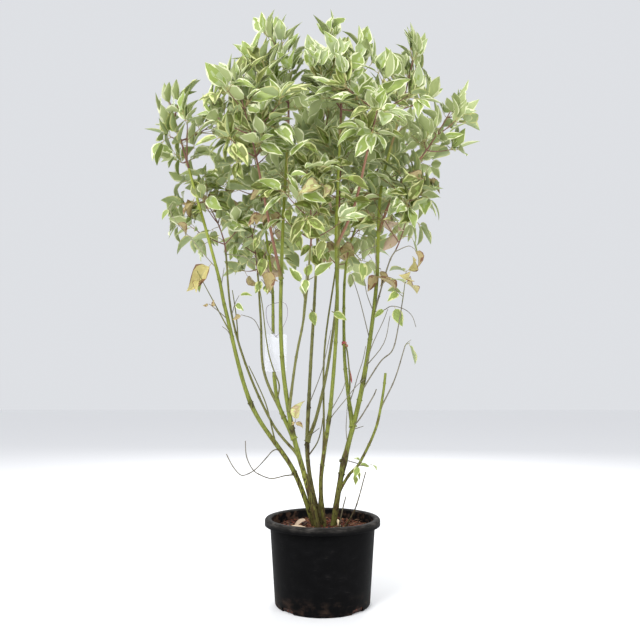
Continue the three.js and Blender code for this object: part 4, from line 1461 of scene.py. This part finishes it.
class DOGWOOD_OT_low_twigs(Operator):
    """Set thin twigs and single leaves on the canes below the crown"""

    bl_idname = "dogwood.low_twigs"
    bl_label = "Low twigs"

    def execute(self, context):
        draw = seeded(90)
        strands = {kind: [] for kind in TWIG_RADII}
        leaves = []
        for carrier, height, kind, way, *hung in LOW_TWIGS:
            limb = LIMBS[carrier].path
            path = Route([limb.point(share_at_height(limb, height)), *way])
            strands[kind].append(strand(path, *TWIG_RADII[kind], 4 * len(way)))
            for share, tip, look in hung:
                root = path.point(share)
                along = Vector(tip) - root
                up = square_to(along.normalized(), Vector((draw(-0.5, 0.5), -1, draw(0, 0.8))))
                leaves.append(Leaf(root, along.normalized(), up, along.length / 1.15, look))
        for kind, made in strands.items():
            piece(tubes(made, 6), f"low_{kind}_twigs", [bark_of(kind)], "dry_bark")
        piece(joined_leaves(leaves, leaf_templates()), "low_leaves", leaf_finishes(), "foliage")
        return {"FINISHED"}


# In millimetres: the tag's thickness and its corners' radius, its hole's radius and depth below the top edge,
# and the loop's radius and its rise above the hole
TAG_THICKNESS, TAG_CORNER = 0.5, 5
HOLE_RADIUS, HOLE_DEPTH = 2, 7
LOOP_RADIUS, LOOP_RISE = 0.8, 97

# The tie's height and width in millimetres, its turns round the cane, and the steps of each
TIE_HEIGHT, TIE_WIDTH = 670, 7
TIE_TURNS, TIE_STEPS = 3, 16


class DOGWOOD_OT_tag(Operator):
    """Hang the bare tag on its loop, and knot the red tie"""

    bl_idname = "dogwood.tag"
    bl_label = "Tag and tie"

    def execute(self, context):
        settings = context.scene.dogwood_tag
        film = Finish("tag_film", 0.35)
        clouds = film.noise(55, 3)
        film.paint(settings.film, (times(0.86, settings.film), clouds))
        film.bump(clouds, 0.0008)
        cord = Finish("tag_strand", 0.45)
        cord.paint(settings.strand, (times(0.6, settings.strand), cord.noise(700, 2)))
        ribbon = Finish("red_tie", 0.5)
        folds = ribbon.noise(160, 3, 0.3)
        ribbon.paint(settings.tie, (settings.faded, folds.between(0.42, 0.62)))
        ribbon.bump(folds, 0.0006)
        low, high = (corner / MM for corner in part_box("tag"))
        hole = Vector(((low.x + high.x) / 2, (low.y + high.y) / 2, high.z - HOLE_DEPTH))
        piece(self.film(low, high, hole), "tag_sheet", [film.material], "tag", "tag")
        piece(self.loop(hole), "tag_strand", [cord.material], "tag_loop", "tag_loop")
        faded = plain_finish("faded_tie", settings.faded, 0.6)
        piece(self.tie(), "knotted_tie", [ribbon.material, faded], "tie", "tie")
        return {"FINISHED"}

    def film(self, low, high, hole):
        """A thin sheet with round corners and a punched hole, bowed a little forwards."""
        size, middle = high - low, (low + high) / 2
        bm = bmesh.new()
        bmesh.ops.create_grid(bm, x_segments=1, y_segments=1, size=0.5)
        bmesh.ops.scale(bm, vec=(size.x, size.z, 1), verts=bm.verts)
        bmesh.ops.bevel(bm, geom=list(bm.verts), offset=TAG_CORNER, segments=4, profile=0.5,
                        affect="VERTICES", material=-1)
        bmesh.ops.delete(bm, geom=list(bm.faces), context="FACES_ONLY")
        punched = Matrix.Translation((0, hole.z - middle.z, 0))
        bmesh.ops.create_circle(bm, segments=14, radius=HOLE_RADIUS, matrix=punched)
        bmesh.ops.triangle_fill(bm, edges=list(bm.edges), use_beauty=True, normal=(0, 0, 1))
        for k in range(1, 16):
            level = (k / 16 - 0.5) * size.z
            bmesh.ops.bisect_plane(bm, geom=[*bm.verts, *bm.edges, *bm.faces], plane_co=(0, level, 0),
                                   plane_no=(0, 1, 0))
        for vert in bm.verts:
            bow = 3.5 * (1 - (2 * vert.co.y / size.z) ** 2) - 2 * vert.co.x / size.x
            vert.co = Vector((middle.x + vert.co.x, low.y - bow, middle.z + vert.co.y)) * MM
        bmesh.ops.recalc_face_normals(bm, faces=bm.faces)
        bmesh.ops.solidify(bm, geom=list(bm.faces), thickness=TAG_THICKNESS * MM)
        bmesh.ops.recalc_face_normals(bm, faces=bm.faces)
        return bm

    def loop(self, hole):
        """The strand goes through the hole, up one side, behind the cane and down the other side."""
        cane = LIMBS["cane_back_left"]
        t = share_at_height(cane.path, hole.z + LOOP_RISE)
        held = cane.path.point(t)
        behind = held.y + (cane.radius_at(t) + 2.7) / frame_at(cane.path, t)[0].z
        up = ((-1, 2.5, 0), (0, -4, 0), (-10, -3, 12), (-24, -3, 42), (-27, 12, 79))
        down = ((22, 22, 93), (29, 3, 55), (12, -2, 14), (1, -4, 1), (0, 2.5, -1))
        way = [hole + Vector(step) for step in (*up, *down)]
        way.insert(len(up), Vector((held.x, behind, hole.z + LOOP_RISE)))
        return tubes([strand(Route(way), LOOP_RADIUS, LOOP_RADIUS, 60)], 6)

    def tie(self):
        """Three turns round the cane, a knot on its right and a tail that widens and ends in a point."""
        limb = LIMBS["cane_back_right"]
        t = share_at_height(limb.path, TIE_HEIGHT)
        centre = limb.path.point(t)
        ahead, across, over = frame_at(limb.path, t)
        girth = limb.radius_at(t) + 1.2
        turns = []
        for k in range(TIE_TURNS * TIE_STEPS + 1):
            out = swung(across, over, k * math.tau / TIE_STEPS)
            climb = (k / (TIE_TURNS * TIE_STEPS) - 0.5) * TIE_WIDTH
            turns.append((centre + out * girth + ahead * climb, 1.6))
        knot = centre + Vector((girth + 1, -4, -7))
        bows = [[(knot + Vector((2.6 * math.cos(a) * k, 1.6 * math.sin(2 * a), 2.8 * math.sin(a))), 1.9)
                 for a in (n * math.tau / 12 for n in range(13))] for k in (-1, 1)]
        hang = Bow(knot, knot + Vector((14, -8, -105)), knot + Vector((4, 2, -50)))
        widths = (0.4, 0.4, 0.4, 0.4, 0.5, 0.7, 1.3, 2.2, 3, 2.8, 0.4)
        tail = [(hang.point(k / 10), width) for k, width in enumerate(widths)]
        return joined([tubes([turns, tail], 8), tubes(bows, 8)])


# The camera's lens and sensor in millimetres and its tilt in degrees, and where the lights point
LENS, SENSOR, UPWARDS = 34.9, 36, 7.35
LIT = Vector((0, 0, 0.9))


class DOGWOOD_OT_stage(Operator):
    """Set the pale floor, the soft lights and the camera"""

    bl_idname = "dogwood.stage"
    bl_label = "Stage"

    def execute(self, context):
        settings = context.scene.dogwood_stage
        bm = bmesh.new()
        bmesh.ops.create_grid(bm, x_segments=1, y_segments=1, size=30)
        floor = linked("floor", mesh_from(bm, "floor"))
        floor.data.materials.append(plain_finish("floor", settings.floor, 0.9))
        floor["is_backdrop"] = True
        world = bpy.data.worlds.new("surround")
        world.use_nodes = True
        surround = world.node_tree.nodes["Background"]
        surround.inputs["Color"].default_value = (0.94, 0.96, 1, 1)
        surround.inputs["Strength"].default_value = settings.sky
        context.scene.world = world
        self.light("main_light", (-1.9, -2.6, 3.2), settings.key, 1.8)
        self.light("side_light", (2.4, -1.8, 1.2), settings.key * 0.25, 1.6)
        self.light("back_light", (0.4, 3.0, 3.0), settings.key * 0.6, 2.0)
        lens = bpy.data.cameras.new("camera")
        lens.lens, lens.sensor_width = LENS, SENSOR
        camera = linked("camera", lens)
        camera.location = FRONT * MM
        camera.rotation_euler = (math.radians(90 + UPWARDS), 0, 0)
        context.scene.camera = camera
        context.scene.view_settings.view_transform = "Standard"
        return {"FINISHED"}

    def light(self, name, place, power, size):
        lamp = bpy.data.lights.new(name, "AREA")
        lamp.energy, lamp.size = power, size
        made = linked(name, lamp)
        made.location = place
        made.rotation_euler = (LIT - Vector(place)).to_track_quat("-Z", "Y").to_euler()


OPERATORS = (DOGWOOD_OT_pot, DOGWOOD_OT_mix, DOGWOOD_OT_limbs, DOGWOOD_OT_low_twigs, DOGWOOD_OT_foliage,
             DOGWOOD_OT_tag, DOGWOOD_OT_stage)
SETTINGS = {
    "dogwood_pot": PotSettings,
    "dogwood_bark": BarkSettings,
    "dogwood_leaf": LeafSettings,
    "dogwood_tag": TagSettings,
    "dogwood_stage": StageSettings,
}


class DOGWOOD_PT_panel(Panel):
    """The pieces of the dogwood, in the order in which they are made"""

    bl_label = "Dogwood"
    bl_space_type = "VIEW_3D"
    bl_region_type = "UI"
    bl_category = "Dogwood"

    def draw(self, context):
        for operator in OPERATORS:
            self.layout.operator(operator.bl_idname)


def register():
    for made in (*SETTINGS.values(), *OPERATORS, DOGWOOD_PT_panel):
        bpy.utils.register_class(made)
    for name, group in SETTINGS.items():
        setattr(bpy.types.Scene, name, PointerProperty(type=group))


def unregister():
    for name in SETTINGS:
        delattr(bpy.types.Scene, name)
    for made in reversed((*SETTINGS.values(), *OPERATORS, DOGWOOD_PT_panel)):
        bpy.utils.unregister_class(made)


def main():
    register()
    bpy.ops.dogwood.pot()
    bpy.ops.dogwood.mix()
    bpy.ops.dogwood.limbs()
    bpy.ops.dogwood.low_twigs()
    bpy.ops.dogwood.foliage()
    bpy.ops.dogwood.tag()
    bpy.ops.dogwood.stage()
    bpy.context.view_layer.update()
    sizes = {"cad": CAD_BOX, "visual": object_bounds()}
    rows = [f'"{name}": {[list(corner) for corner in box]}' for name, box in sizes.items()]


if __name__ == "__main__":
    main()
